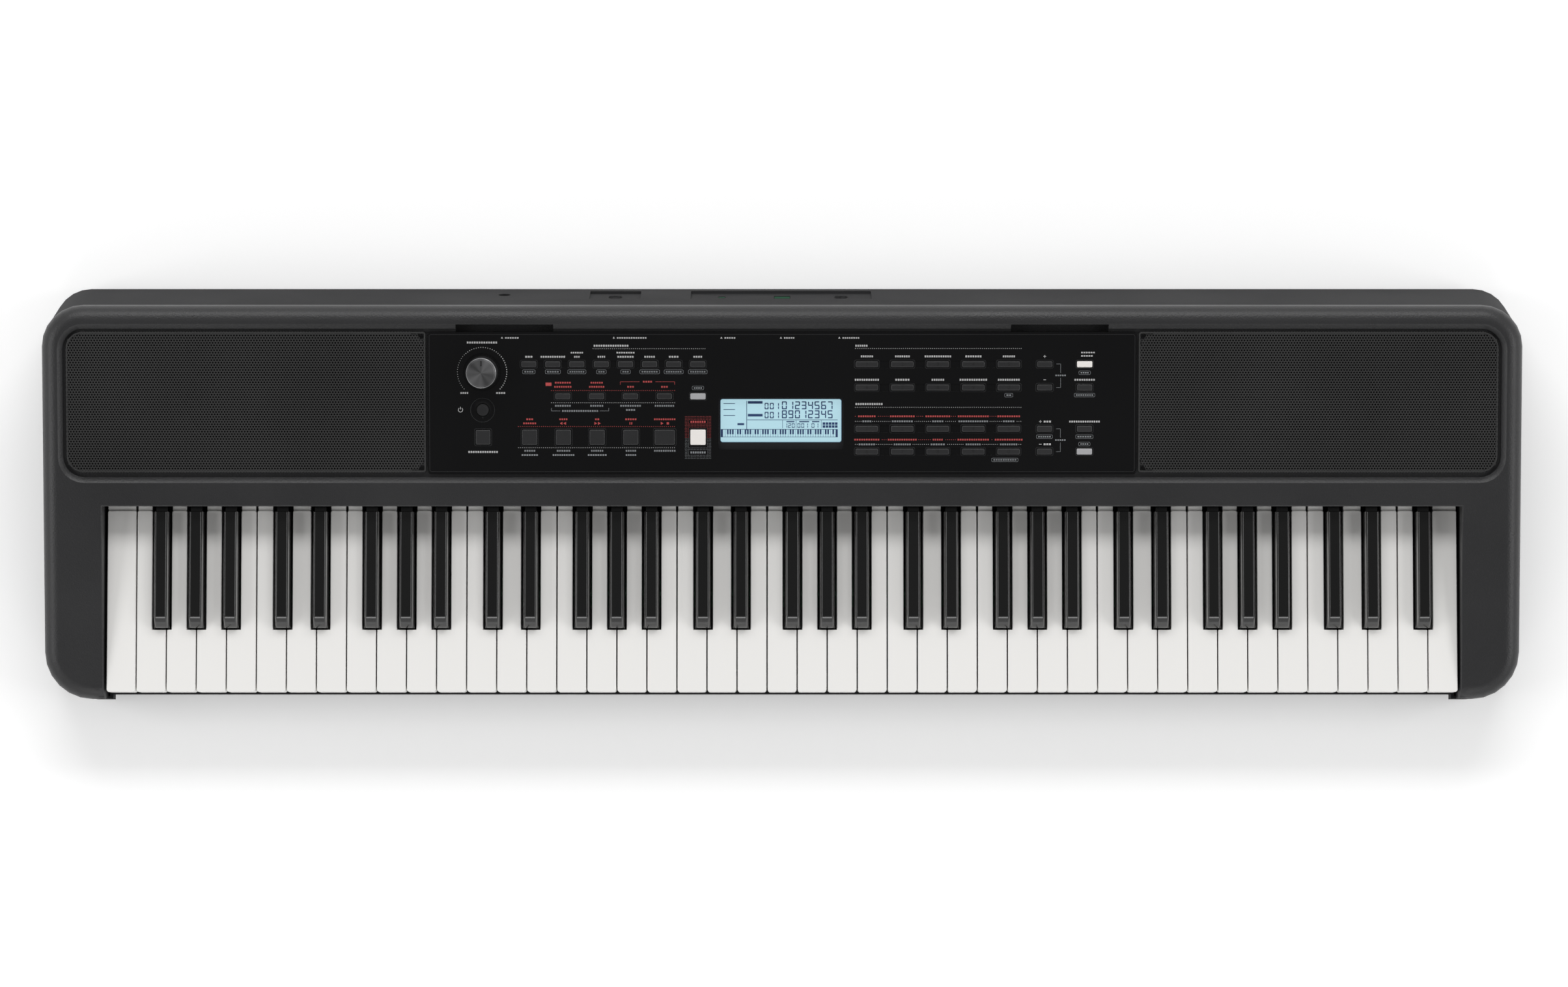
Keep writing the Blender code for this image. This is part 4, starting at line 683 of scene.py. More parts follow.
black_shapes = shape_collection("black_key_shape", [black_key_shape()])
for name, first, last in SETS:
    points = []
    for index in range(first, last + 1):
        if LETTERS[index] in BLACK_SHIFT and index + 1 < len(LETTERS):
            centre = -SPAN / 2 + (index + 1) * PITCH + BLACK_SHIFT[LETTERS[index]]
            points.append(((centre * MM, 0, 0), 0))
    node = f"black_keys_{name}"
    mesh = grown(f"{node}_fine", points, STAMP, {"Shapes": black_shapes, "Material": key_black})
    bars = hinge_bar(first, last, BLACK_BAR)
    bars.from_mesh(mesh)
    piece(f"{node}_fine", bars, key_black, node, (node,), angle=40)
drop_collection(black_shapes)

# %% [markdown]
# The grilles are thin sheet with thousands of small round holes in staggered rows. A hexagonal cell
# with a hole in it, repeated on a honeycomb of points, leaves no gap between one cell and the next.

# %% Perforated grilles
HOLE_PITCH = 2.22
ROW_PITCH = HOLE_PITCH * math.sqrt(3) / 2
HOLE_RADIUS = 0.78
SHEET = 0.7
GRILLE_U, GRILLE_V = (277.5, 557.5), (26.6, 136.0)
OUTER_CORNER, INNER_CORNER = 13.0, 2.0
GRILLE_MARGIN, RIM_COVER = 1.3, 0.6
WELD = 2e-5


def sheet_cell():
    """A hexagon with a hole: its face and the wall of the hole."""
    shape = bmesh.new()
    rings = []
    for radius, depth in ((HOLE_PITCH / math.sqrt(3), 0), (HOLE_RADIUS, 0), (HOLE_RADIUS, -SHEET)):
        ring = []
        for i in range(6):
            angle = math.radians(60 * i + 30)
            corner = Vector((radius * math.cos(angle), radius * math.sin(angle), depth))
            ring.append(shape.verts.new(corner * MM))
        rings.append(ring)
    for ring, inner in zip(rings, rings[1:]):
        for i in range(6):
            j = (i + 1) % 6
            shape.faces.new((ring[i], ring[j], inner[j], inner[i]))
    return shape


def perforation_tree():
    """A honeycomb of points inside a rounded field, each stamped with one cell of the sheet."""
    tree, ins, outs = geometry_tree("perforated_sheet", [
        ("Width", "NodeSocketFloat", 0.28), ("Height", "NodeSocketFloat", 0.11),
        ("Pitch", "NodeSocketFloat", HOLE_PITCH * MM), ("Row Pitch", "NodeSocketFloat", ROW_PITCH * MM),
        ("Corner", "NodeSocketFloat", 0.012), ("Cell", "NodeSocketCollection", None),
        ("Material", "NodeSocketMaterial", None)])
    wide, high, pitch, row_pitch, corner = (
        ins.outputs[label] for label in ("Width", "Height", "Pitch", "Row Pitch", "Corner"))

    def calc(operation, a, b=0.0):
        return math_node(tree, operation, a, b)

    columns = calc("FLOOR", calc("DIVIDE", wide, pitch))
    rows = calc("FLOOR", calc("DIVIDE", high, row_pitch))
    grid = add(tree, "GeometryNodeMeshGrid", {
        "Size X": calc("MULTIPLY", columns, pitch), "Size Y": calc("MULTIPLY", rows, row_pitch),
        "Vertices X": calc("ADD", columns, 1.0), "Vertices Y": calc("ADD", rows, 1.0)})
    index = add(tree, "GeometryNodeInputIndex").outputs[0]
    odd = calc("MODULO", calc("MODULO", index, calc("ADD", rows, 1.0)), 2.0)
    shift = add(tree, "ShaderNodeCombineXYZ", {"X": calc("MULTIPLY", odd, calc("MULTIPLY", pitch, 0.5))})
    place = add(tree, "GeometryNodeSetPosition", {
        "Geometry": grid.outputs["Mesh"], "Offset": shift.outputs[0]})

    # A point past a corner's centre by more than the corner's radius lies outside the field.
    apart = add(tree, "ShaderNodeSeparateXYZ", {0: add(tree, "GeometryNodeInputPosition").outputs[0]})
    past = []
    for axis, span in (("X", wide), ("Y", high)):
        straight = calc("SUBTRACT", calc("MULTIPLY", span, 0.5), corner)
        past.append(calc("MAXIMUM", calc("SUBTRACT", calc("ABSOLUTE", apart.outputs[axis]), straight)))
    squares = [calc("MULTIPLY", length, length) for length in past]
    outside = calc("GREATER_THAN", calc("SQRT", calc("ADD", *squares)), corner)
    drop = add(tree, "GeometryNodeDeleteGeometry", {
        "Geometry": place.outputs["Geometry"], "Selection": outside}, domain="POINT")
    cell = add(tree, "GeometryNodeCollectionInfo", {"Collection": ins.outputs["Cell"]})
    stamp = add(tree, "GeometryNodeInstanceOnPoints", {
        "Points": drop.outputs["Geometry"], "Instance": cell.outputs["Instances"]})
    return dressed(tree, ins, outs, stamp.outputs["Instances"], WELD)


PERFORATE = perforation_tree()
cells = shape_collection("sheet_cell", [sheet_cell()])
for side, node in ((-1, "grille_left"), (1, "grille_right")):
    low_u, high_u = sorted((side * GRILLE_U[0], side * GRILLE_U[1]))
    left_r, right_r = (OUTER_CORNER, INNER_CORNER)[::-side]
    radii = (left_r, right_r, right_r, left_r)
    shrunk = [max(r - GRILLE_MARGIN, 0.8) for r in radii]
    less = 2 * (GRILLE_MARGIN - RIM_COVER)
    width, height = (high_u - low_u - less) * MM, (GRILLE_V[1] - GRILLE_V[0] - less) * MM
    mesh = grown(f"{node}_holes", [((0, 0, 0), 0)], PERFORATE, {
        "Width": width, "Height": height, "Cell": cells, "Material": grille_paint})
    sheet = bmesh.new()
    sheet.from_mesh(mesh)
    centre = Vector(((low_u + high_u) / 2, sum(GRILLE_V) / 2, PANEL_TOP - 0.03)) * MM
    bmesh.ops.translate(sheet, vec=centre, verts=sheet.verts)
    outline = rounded(low_u, GRILLE_V[0], high_u, GRILLE_V[1], radii, 10)
    opening = rounded(low_u + GRILLE_MARGIN, GRILLE_V[0] + GRILLE_MARGIN,
                      high_u - GRILLE_MARGIN, GRILLE_V[1] - GRILLE_MARGIN, shrunk, 10)
    rim = plate_mesh([outline, opening], PANEL_BOTTOM, PANEL_TOP)
    soften(rim, 0.5, 2, lambda p: p.z > PANEL_TOP - 0.01)
    piece(f"{node}_mesh", tilted(joined([sheet, rim])), grille_paint, "case", (node,))
    print(node, "triangles", len(frame["nodes"][node].data.polygons), "become", len(mesh.polygons) * 2)
drop_collection(cells)

# %% [markdown]
# The button caps have small round corners and a slightly crowned top. Around each one a thin bezel
# stands on the glossy panel. The caps of a strip move together, so each strip is one piece.

# %% Buttons
SMALL, WIDE, SQUARE, LONG = (12.0, 4.8), (17.8, 4.8), (12.0, 12.0), (16.0, 12.0)
ROW_1, ROW_1B, ROW_2, ROW_3, ROW_N, ROW_NB = 85.7, 67.6, 60.7, 28.8, 35.4, 17.6
STEPS_U, COLUMN_U, LEFT_U = 204.4, 235.5, -65.5


def cap_at(u, row, size):
    return (u, PANEL_FRONT + row, size)


def row_of(first, last, count, row, size):
    step = (last - first) / (count - 1)
    return [cap_at(first + step * i, row, size) for i in range(count)]


NUMBERS = (66.0, 176.5)
STRIPS = {
    "record_buttons": (cap_dark, "cap_dark", row_of(-197.1, -159.7, 3, ROW_1, SMALL)),
    "sound_buttons": (cap_dark, "cap_dark", row_of(-140.6, -65.6, 5, ROW_1, SMALL)),
    "lesson_buttons": (cap_dark, "cap_dark", row_of(-170.7, -91.6, 4, ROW_2, SMALL)),
    "transport_buttons": (cap_dark, "cap_dark", row_of(-196.6, -117.8, 4, ROW_3, SQUARE)
                          + [cap_at(-91.4, ROW_3, LONG)]),
    **{f"number_buttons_{i + 1}": (cap_dark, "cap_dark", row_of(*NUMBERS, 5, row, WIDE))
       for i, row in enumerate((ROW_1, ROW_1B, ROW_N, ROW_NB))},
    "articulation_button": (cap_dark, "cap_dark", [cap_at(-232.9, ROW_3, (11.6, 11.6))]),
    "mode_button": (cap_white, "cap_white", [cap_at(LEFT_U, ROW_3, SQUARE)]),
    "left_shift_button": (cap_light, "cap_light", [cap_at(LEFT_U, ROW_2, SMALL)]),
    "upper_step_buttons": (cap_dark, "cap_dark", [cap_at(STEPS_U, row, SMALL) for row in (ROW_1, ROW_1B)]),
    "lower_step_buttons": (cap_dark, "cap_dark", [cap_at(STEPS_U, row, SMALL) for row in (ROW_N, ROW_NB)]),
    "upper_column_buttons": (
        cap_white, "cap_white", [cap_at(COLUMN_U, row, SMALL) for row in (ROW_1, ROW_1B)]),
    "lower_column_buttons": (
        cap_light, "cap_light", [cap_at(COLUMN_U, row, SMALL) for row in (ROW_N, ROW_NB)]),
}

# In the two strips of the right-hand column one cap is dark: 1 for the rear one, -1 for the front one.
DARK_CAP = {"upper_column_buttons": -1, "lower_column_buttons": 1}


def cap_mesh(u, v, size):
    """A cap with a raised and gently crowned top."""
    cap = plate_mesh([around((u, v), size, 0.9)], PANEL_BOTTOM - 1, CAP_TOP)
    return soften(cap, 0.7, 3, lambda p: p.z > CAP_TOP - 0.01)


for name, (look, slot, caps) in STRIPS.items():
    lefts = min(u - size[0] / 2 for u, v, size in caps)
    rights = max(u + size[0] / 2 for u, v, size in caps)
    fronts, rears = min(v for u, v, size in caps), max(v for u, v, size in caps)
    shapes = [box_mesh((lefts, fronts - 3.5, PANEL_BOTTOM - 3), (rights, rears + 3.5, PANEL_BOTTOM - 0.6))]
    shapes += [cap_mesh(u, v, size) for u, v, size in caps]
    thing = piece(f"{name}_fine", tilted(joined(shapes)), look, name, (name,))
    if name in DARK_CAP:
        thing.data.materials.append(cap_dark)
        for face in thing.data.polygons:
            past_middle = (SLOPE.inverted() @ face.center).y / MM - (fronts + rears) / 2
            if past_middle * DARK_CAP[name] > 0:
                face.material_index = 1

bezels = []
for look, slot, caps in STRIPS.values():
    for u, v, size in caps:
        outlines = [around((u, v), (size[0] + more, size[1] + more), radius)
                    for more, radius in ((2.2, 1.7), (0.8, 1.2))]
        ring = plate_mesh(outlines, PANEL_TOP - 0.1, PANEL_TOP + 0.22)
        bezels.append(soften(ring, 0.15, 1, lambda p: p.z > PANEL_TOP + 0.2))
piece("button_bezels", tilted(joined(bezels)), bezel_grey, "case")

# %% [markdown]
# The knob is turned: a dark skirt below and a spun metal cap on top with a thin pointer line. The
# power button is a small dish in a deeper one, with a light ring round it.

# %% Knob and power button
KNOB = (-233.5, PANEL_FRONT + 79.6)
POWER = (-233.2, PANEL_FRONT + 50.0)
KNOB_TOP = 15.5
POINTER, POINTER_OFF = (1.0, 4.2), 7.4
SKIRT_PROFILE = [
    (10.9, KNOB_TOP - 3.0), (11.3, KNOB_TOP - 3.2), (11.6, 1.2), (12.3, 0.4), (12.3, 0.0), (11.6, -0.1),
    (3.0, -0.1), (3.0, -5.6), (0, -5.6)]
CAP_PROFILE = [
    (0, KNOB_TOP - 0.35), (9.9, KNOB_TOP - 0.3), (10.4, KNOB_TOP), (11.2, KNOB_TOP),
    (11.75, KNOB_TOP - 0.5), (11.8, KNOB_TOP - 2.6), (11.4, KNOB_TOP - 3.0), (10.0, KNOB_TOP - 3.0)]
BUTTON_PROFILE = [
    (0, -1.7), (3.6, -1.65), (4.2, -1.45), (4.6, -1.5), (4.8, -1.9), (4.8, -3.3), (6.2, -3.3),
    (6.2, -5.7), (0, -5.7)]
RING_PROFILE = [
    (9.3, 0.25), (9.5, 0.2), (9.6, 0.0), (9.6, -0.1), (9.15, -0.1), (9.15, 0.1), (9.3, 0.25)]


def turned_piece(name, profile, steps, place, look, body, stands_for=()):
    """A round piece that stands on the panel. Where its profile closes, the two ends are joined."""
    shape = turned_mesh(profile, steps, (*place, PANEL_TOP))
    bmesh.ops.remove_doubles(shape, verts=shape.verts, dist=1e-7)
    return piece(name, tilted(shape), look, body, stands_for, 40)


knob_dark = finish("knob_dark", (0.02, 0.02, 0.021), 0.35, grain=0.1, scale=2500)
knob_spun = spun_metal("knob_spun", (0.50, 0.50, 0.51), slope_point(*KNOB, PANEL_TOP + KNOB_TOP))
turned_piece(
    "volume_skirt", SKIRT_PROFILE, 96, KNOB, knob_dark, "volume_knob", ("volume_knob",))
turned_piece("volume_cap", CAP_PROFILE, 96, KNOB, knob_spun, "volume_knob")
pointer = plate_mesh([around((KNOB[0], KNOB[1] + POINTER_OFF), POINTER, 0.45)],
                     PANEL_TOP + KNOB_TOP - 0.5, PANEL_TOP + KNOB_TOP - 0.2)
piece("volume_pointer", tilted(pointer), ink_dark, "volume_knob")
turned_piece("power_cap", BUTTON_PROFILE, 64, POWER, cap_dark, "power_button", ("power_button",))
turned_piece("power_ring", RING_PROFILE, 96, POWER, bezel_grey, "case")

# %% [markdown]
# The printed marks are thin films of ink. Words are left off: a row of short dashes stands where one
# was, and only signs that any such instrument could carry stay, such as arrows, brackets and dots.

# %% Printed marks
INK_LOW, INK_HIGH = PANEL_TOP - 0.05, PANEL_TOP + 0.03
DASH, DASH_GAP = 1.25, 0.55


def bar(u, v, length, height):
    return box_mesh((u - length / 2, v - height / 2, INK_LOW), (u + length / 2, v + height / 2, INK_HIGH))


def dashes(u, v, length, height=1.3):
    """A word's place: short dashes of equal length in a row."""
    count = max(1, round((length + DASH_GAP) / (DASH + DASH_GAP)))
    step = (length + DASH_GAP) / count
    first = u - length / 2 + (step - DASH_GAP) / 2
    return [bar(first + step * i, v, step - DASH_GAP, height) for i in range(count)]


def film(points, *holes):
    return plate_mesh([points, *holes], INK_LOW, INK_HIGH)


def triangle(u, v, size, turn=0.0):
    points = []
    for i in range(3):
        angle = math.radians(turn + 120 * i)
        points.append((u + size * math.cos(angle), v + size * math.sin(angle)))
    return film(points)


def frame_mark(u, v, length, height=3.3, line=0.22):
    """A thin rounded frame with dashes inside."""
    outer = around((u, v), (length, height), 0.9)
    inner = around((u, v), (length - 2 * line, height - 2 * line), 0.7)
    return [film(outer, inner), *dashes(u, v, length - 3.0, 1.0)]


def path(points, width=0.25):
    """A thin line along upright and level runs."""
    runs = []
    for (u0, v0), (u1, v1) in zip(points, points[1:]):
        runs.append(box_mesh(
            (min(u0, u1) - width / 2, min(v0, v1) - width / 2, INK_LOW),
            (max(u0, u1) + width / 2, max(v0, v1) + width / 2, INK_HIGH)))
    return runs


def disc(radius, sides=10):
    shape = bmesh.new()
    bmesh.ops.create_cone(shape, cap_ends=True, segments=sides, radius1=radius * MM, radius2=radius * MM,
                          depth=(INK_HIGH - INK_LOW) * MM)
    return shape


def dots(name, places, radii, look):
    """Round dots stamped by the tree on a list of places, each with the number of its size."""
    shapes = shape_collection(f"{name}_dot", [disc(radius) for radius in radii])
    points = [((u * MM, v * MM, (INK_LOW + INK_HIGH) / 2 * MM), kind) for u, v, kind in places]
    mesh = grown(name, points, STAMP, {"Shapes": shapes, "Material": look})
    shape = bmesh.new()
    shape.from_mesh(mesh)
    drop_collection(shapes)
    return piece(name, tilted(shape), look, "case")


def line_of_dots(u0, u1, v, skip=(), pitch=1.5):
    """Places along a line, without those that fall in the spans to skip."""
    places = []
    for i in range(int((u1 - u0) / pitch) + 1):
        u = u0 + pitch * i
        if not any(abs(u - middle) < half for middle, half in skip):
            places.append((u, v, 0))
    return places


def caps_u(name):
    return [u for u, v, size in STRIPS[name][2]]


def label_row(centres, v, lengths, height=1.3):
    shapes = []
    for u, length in zip(centres, lengths):
        if length:
            shapes += dashes(u, v, length, height)
    return shapes


ROW1_U = caps_u("record_buttons") + caps_u("sound_buttons")
LESSON_U, TRANSPORT_U = caps_u("lesson_buttons"), caps_u("transport_buttons")
NUMBER_U = caps_u("number_buttons_1")
PART_U = LESSON_U[2:]
POWER_SIGN_U = POWER[0] - 17.2


def printed(name, words, signs, look):
    """One ink's marks: rows of words, each as places, height, lengths and tallness, and its signs."""
    shapes = list(signs)
    for centres, v, lengths, tall in words:
        shapes += label_row(centres, v, lengths, tall)
    return piece(name, tilted(joined(shapes)), look, "case")


words = [
    ((KNOB[0], -233.0), 127.7, (23.5, 0), 1.5), ((-133.1,), 125.2, (27.0,), 1.5),
    ((-247.4, -219.1), 88.4, (6.0, 7.0), 1.3), ((-233.0,), 42.4, (23.0,), 1.5),
    (ROW1_U, 116.6, (5.6, 19.0, 4.2, 5.8, 12.6, 8.1, 7.4, 6.7), 1.4),
    (ROW1_U, 119.8, (0, 0, 9.5, 0, 14.0), 1.2),
    ((61.7,), 125.2, (9.4,), 1.5), ((67.7,), 79.8, (21.0,), 1.5),
    (NUMBER_U, 116.9, (9.4, 11.4, 20.5, 12.5, 9.4), 1.5),
    (NUMBER_U, 98.7, (18.8, 11.0, 9.7, 21.3, 16.9), 1.5),
    ((238.0,), 119.9, (10.6,), 1.1), ((237.2,), 117.3, (9.0,), 1.1),
    ((COLUMN_U,), 98.7, (15.8,), 1.4),
    ((COLUMN_U, STEPS_U + 2.2), 66.1, (23.8, 5.6), 1.4), ((STEPS_U + 2.2,), 48.4, (5.6,), 1.4),
]
signs = []
for u, v in ((STEPS_U, 116.9), (STEPS_U, 98.7), (STEPS_U - 3.2, 66.1), (STEPS_U - 3.2, 48.4)):
    signs.append(bar(u, v, 2.0, 0.45))
for u, v in ((STEPS_U, 116.9), (STEPS_U - 3.2, 66.1)):
    signs.append(bar(u, v, 0.45, 2.0))
for u, length in ((-217.9, 10.5), (-130.9, 23.0), (-47.2, 8.4), (-0.9, 8.0), (44.6, 13.0)):
    signs.append(triangle(u, 131.3, 1.0, 90))
    signs += dashes(u + 2.4 + length / 2, 131.3, length, 1.1)
power_round = arc((POWER_SIGN_U, POWER[1] + 0.1), 1.9, 125, 415, 18)
power_round += arc((POWER_SIGN_U, POWER[1] + 0.1), 1.45, 415, 125, 18)
signs += [film(power_round), bar(POWER_SIGN_U, POWER[1] + 1.5, 0.45, 2.0)]
printed("panel_marks_light", words, signs, ink_light)

words = [
    (LESSON_U, 78.4, (12.2, 10.0, 16.0, 15.0), 1.3), ((PART_U[0], -157.3), 75.2, (7.0, 0), 1.3),
    ((-157.3,), 74.4, (28.0,), 1.3),
    (TRANSPORT_U, 43.3, (8.4, 10.4, 9.4, 8.0, 16.6), 1.3),
    (TRANSPORT_U, 40.0, (12.6, 16.8, 14.6, 8.0), 1.3),
    (NUMBER_U, 66.3, (6.8, 16.2, 8.6, 23.0, 8.8), 1.3),
    (NUMBER_U, 48.3, (12.6, 13.2, 11.0, 11.6, 13.4), 1.3),
    ((216.8,), 102.1, (8.1,), 1.1), ((216.8,), 51.7, (8.1,), 1.1), ((LEFT_U,), 42.0, (11.8,), 1.6),
]
signs = []
for u, length in zip(ROW1_U, (9.9, 12.0, 14.4, 7.7, 7.7, 15.5, 15.1, 14.8)):
    signs += frame_mark(u, 104.9, length)
for u, v, length in (
    (LEFT_U, 92.3, 9.2), (COLUMN_U, 104.2, 9.2), (COLUMN_U, 86.8, 16.3), (NUMBER_U[4], 86.7, 6.6),
    (STEPS_U, 54.3, 12.7), (COLUMN_U, 54.3, 13.7), (COLUMN_U, 48.6, 9.2), (173.6, 36.2, 20.8),
):
    signs += frame_mark(u, v, length, 3.0)
for top, low, middle in ((111.0, 92.7, 102.1), (60.5, 42.6, 51.7)):
    signs += path([(213.6, top), (216.8, top), (216.8, middle + 2.0)])
    signs += path([(216.8, middle - 2.0), (216.8, low), (213.6, low)])
for end, inner in ((-179.6, -172.8), (-135.0, -141.8)):
    signs += path([(end, 76.6), (end, 74.4), (inner, 74.4)])
printed("panel_marks_grey", words, signs, ink_grey)

words = [
    (LESSON_U, 96.4, (12.2, 9.4), 1.3), (LESSON_U, 93.2, (13.4, 11.8, 5.2, 5.2), 1.3),
    ((sum(PART_U) / 2,), 97.2, (7.0,), 1.3),
    (TRANSPORT_U, 67.9, (5.2, 6.2, 3.2, 8.7, 16.6), 1.3), (TRANSPORT_U, 64.7, (10.0,), 1.3),
    (NUMBER_U, 70.2, (13.5, 19.2, 19.2, 24.0, 17.5), 1.3),
    (NUMBER_U, 52.0, (19.5, 22.4, 7.8, 24.4, 21.6), 1.3), ((LEFT_U,), 65.9, (11.8,), 1.6),
]
signs = [film(around((-181.8, 95.2), (4.6, 2.6), 0.2))]
for end, inner in ((PART_U[0] - 8.0, -111.0), (PART_U[1] + 8.0, -98.5)):
    signs += path([(end, 95.0), (end, 97.2), (inner, 97.2)])
for k in (-1.4, 1.4):
    signs += [triangle(TRANSPORT_U[1] + k, 64.7, 1.4, 180), triangle(TRANSPORT_U[2] + k, 64.7, 1.4, 0)]
    signs.append(bar(TRANSPORT_U[3] + k * 0.5, 64.7, 0.7, 1.9))
signs += [triangle(TRANSPORT_U[4] - 2.4, 64.7, 1.4, 0), bar(TRANSPORT_U[4] + 2.4, 64.7, 1.8, 1.8)]
printed("panel_marks_red", words, signs, ink_red)

# %% [markdown]
# Dotted lines lead along the rows, and stop where a word stands. A ring of dots that grow from one
# end to the other lies round the knob, and a field of dots behind the white cap changes its ink.

# %% Dots
SOUND_LINE, NUMBER_LINE = (-147, -58.7), (57, 186.2)
LESSON_LINE, TRANSPORT_LINE = (-179.6, -83.2), (-205.4, -82.8)
LINE_DOT, FIELD_DOT = 0.28, 0.24
RING_DOTS, RING_RADIUS, RING_START, RING_TURN = 50, 19.2, 223, 266
FIELD_PITCH, FIELD_SPLIT = 1.165, 53.4

places = line_of_dots(*SOUND_LINE, 122.9) + line_of_dots(*NUMBER_LINE, 123.1)
places += line_of_dots(*NUMBER_LINE, 77.2) + line_of_dots(*LESSON_LINE, 80.8)
places += line_of_dots(*TRANSPORT_LINE, 45.7)
places += line_of_dots(*NUMBER_LINE, 66.3, list(zip(NUMBER_U, (4.4, 9.1, 5.3, 12.5, 5.4))))
places += line_of_dots(*NUMBER_LINE, 48.3, list(zip(NUMBER_U, (7.3, 7.6, 6.5, 6.8, 7.7))))
dots("dotted_lines_light", places, [LINE_DOT], ink_light)
places = line_of_dots(*LESSON_LINE, 90.3) + line_of_dots(*TRANSPORT_LINE, 62.3)
places += line_of_dots(*NUMBER_LINE, 70.2, list(zip(NUMBER_U, (7.7, 10.6, 10.6, 13.0, 9.7))))
places += line_of_dots(*NUMBER_LINE, 52.0, list(zip(NUMBER_U, (10.7, 12.2, 4.9, 13.2, 11.8))))
dots("dotted_lines_red", places, [LINE_DOT], ink_red)

places = []
for k in range(RING_DOTS):
    angle = math.radians(RING_START - RING_TURN * k / (RING_DOTS - 1))
    u, v = KNOB[0] + RING_RADIUS * math.cos(angle), KNOB[1] + RING_RADIUS * math.sin(angle)
    places.append((u, v, k * 3 // RING_DOTS))
dots("knob_dots", places, [0.26, 0.34, 0.42], ink_light)

field = []
for i in range(18):
    for j in range(29):
        u, v = LEFT_U - 9.9 + FIELD_PITCH * i, 37.4 + FIELD_PITCH * j
        on_cap = abs(u - LEFT_U) < 7.4 and abs(v - PANEL_FRONT - ROW_3) < 7.4
        on_word = abs(u - LEFT_U) < 6.8 and (abs(v - 65.9) < 1.6 or abs(v - 42.0) < 1.6)
        if not on_cap and not on_word:
            field.append((u, v, 0))
dots("mode_dots_red", [p for p in field if p[1] > FIELD_SPLIT], [FIELD_DOT], ink_red)
dots("mode_dots_grey", [p for p in field if p[1] <= FIELD_SPLIT], [FIELD_DOT], ink_grey)

# A thin frame line a little lighter than the panel runs near its edge: a painted highlight for light caught
# along the edge step.
painted_highlight_outlines = []
for less, radius in ((0.0, 1.6), (0.6, 1.3)):
    size = (2 * PANEL_HALF - 2.6 - less, PANEL_REAR - PANEL_FRONT - 3.8 - less)
    painted_highlight_outlines.append(around((0, (PANEL_FRONT + PANEL_REAR) / 2), size, radius))
piece("panel_edge_line", tilted(film(*painted_highlight_outlines)), painted_edge_highlight, "case")

# %% [markdown]
# The numbers on the caps are cut from Blender's own font. A text object is turned to a mesh first,
# and then laid on the cap that it moves with.

# %% Numbers and signs on the caps
CAP_INK, SIGN_SIZE = 0.04, 4.2


def text_mesh(words, size, u, v, w):
    curve = bpy.data.curves.new("words", "FONT")
    curve.body = words
    curve.size = size * MM
    curve.align_x, curve.align_y = "CENTER", "CENTER"
    curve.extrude = CAP_INK * MM
    curve.resolution_u = 3
    holder = bpy.data.objects.new("words", curve)
    mesh = bpy.data.meshes.new_from_object(holder)
    shape = bmesh.new()
    shape.from_mesh(mesh)
    bpy.data.objects.remove(holder)
    bpy.data.meshes.remove(mesh)
    bmesh.ops.remove_doubles(shape, verts=shape.verts, dist=1e-7)
    bmesh.ops.translate(shape, vec=Vector((u, v, w)) * MM, verts=shape.verts)
    return shape


for name in ("number_buttons_1", "number_buttons_2", "number_buttons_3", "number_buttons_4"):
    signs = "12345" if name[-1] in "13" else "67890"
    shapes = [text_mesh(sign, SIGN_SIZE, u, v, CAP_TOP) for sign, (u, v, size) in zip(signs, STRIPS[name][2])]
    piece(f"{name}_signs", tilted(joined(shapes)), ink_dark, name)

# %% [markdown]
# The display is a lit plate under the window. Dark segments stand just above it: two rows of
# figures, a few boxes and a small picture of a keyboard along its lower edge.

# %% Display
SCREEN_W = -6.9
SCREEN_SHIFT = -1.2
SEGMENTS = {"0": "abcdef", "1": "bc", "2": "abged", "3": "abgcd", "4": "fgbc", "5": "afgcd",
            "6": "afgedc", "7": "abc", "8": "abcdefg", "9": "abcfgd"}


def screen_box(u0, v0, u1, v1):
    return box_mesh(
        (u0 + SCREEN_SHIFT, v0, SCREEN_W - 0.02), (u1 + SCREEN_SHIFT, v1, SCREEN_W + 0.05))


def figure(digit, u, v, width, height, bar_width):
    """Bars of a seven-segment figure with its lower left corner at u, v."""
    half = height / 2
    lines = {
        "a": (0, height - bar_width, width, height), "d": (0, 0, width, bar_width),
        "g": (0, half - bar_width / 2, width, half + bar_width / 2),
        "f": (0, half, bar_width, height), "b": (width - bar_width, half, width, height),
        "e": (0, 0, bar_width, half), "c": (width - bar_width, 0, width, half),
    }
    gap = bar_width * 0.35
    shapes = []
    for letter in SEGMENTS[digit]:
        x0, y0, x1, y1 = lines[letter]
        if letter in "adg":
            x0, x1 = x0 + gap, x1 - gap
        else:
            y0, y1 = y0 + gap, y1 - gap
        shapes.append(screen_box(u + x0, v + y0, u + x1, v + y1))
    return shapes


SCREEN_AT = (-0.9, PANEL_FRONT + 41.5)
lit = around(SCREEN_AT, (94.0, 33.4), 1.6)
glass = plate_mesh([lit], SCREEN_W - 0.12, SCREEN_W - 0.02)
piece("screen_plate", tilted(glass), screen_glow, "case")
halo = plate_mesh([around(SCREEN_AT, (95.4, 34.8), 2.2), lit], SCREEN_W - 0.1, SCREEN_W)
piece("screen_halo", tilted(halo), screen_edge, "case")

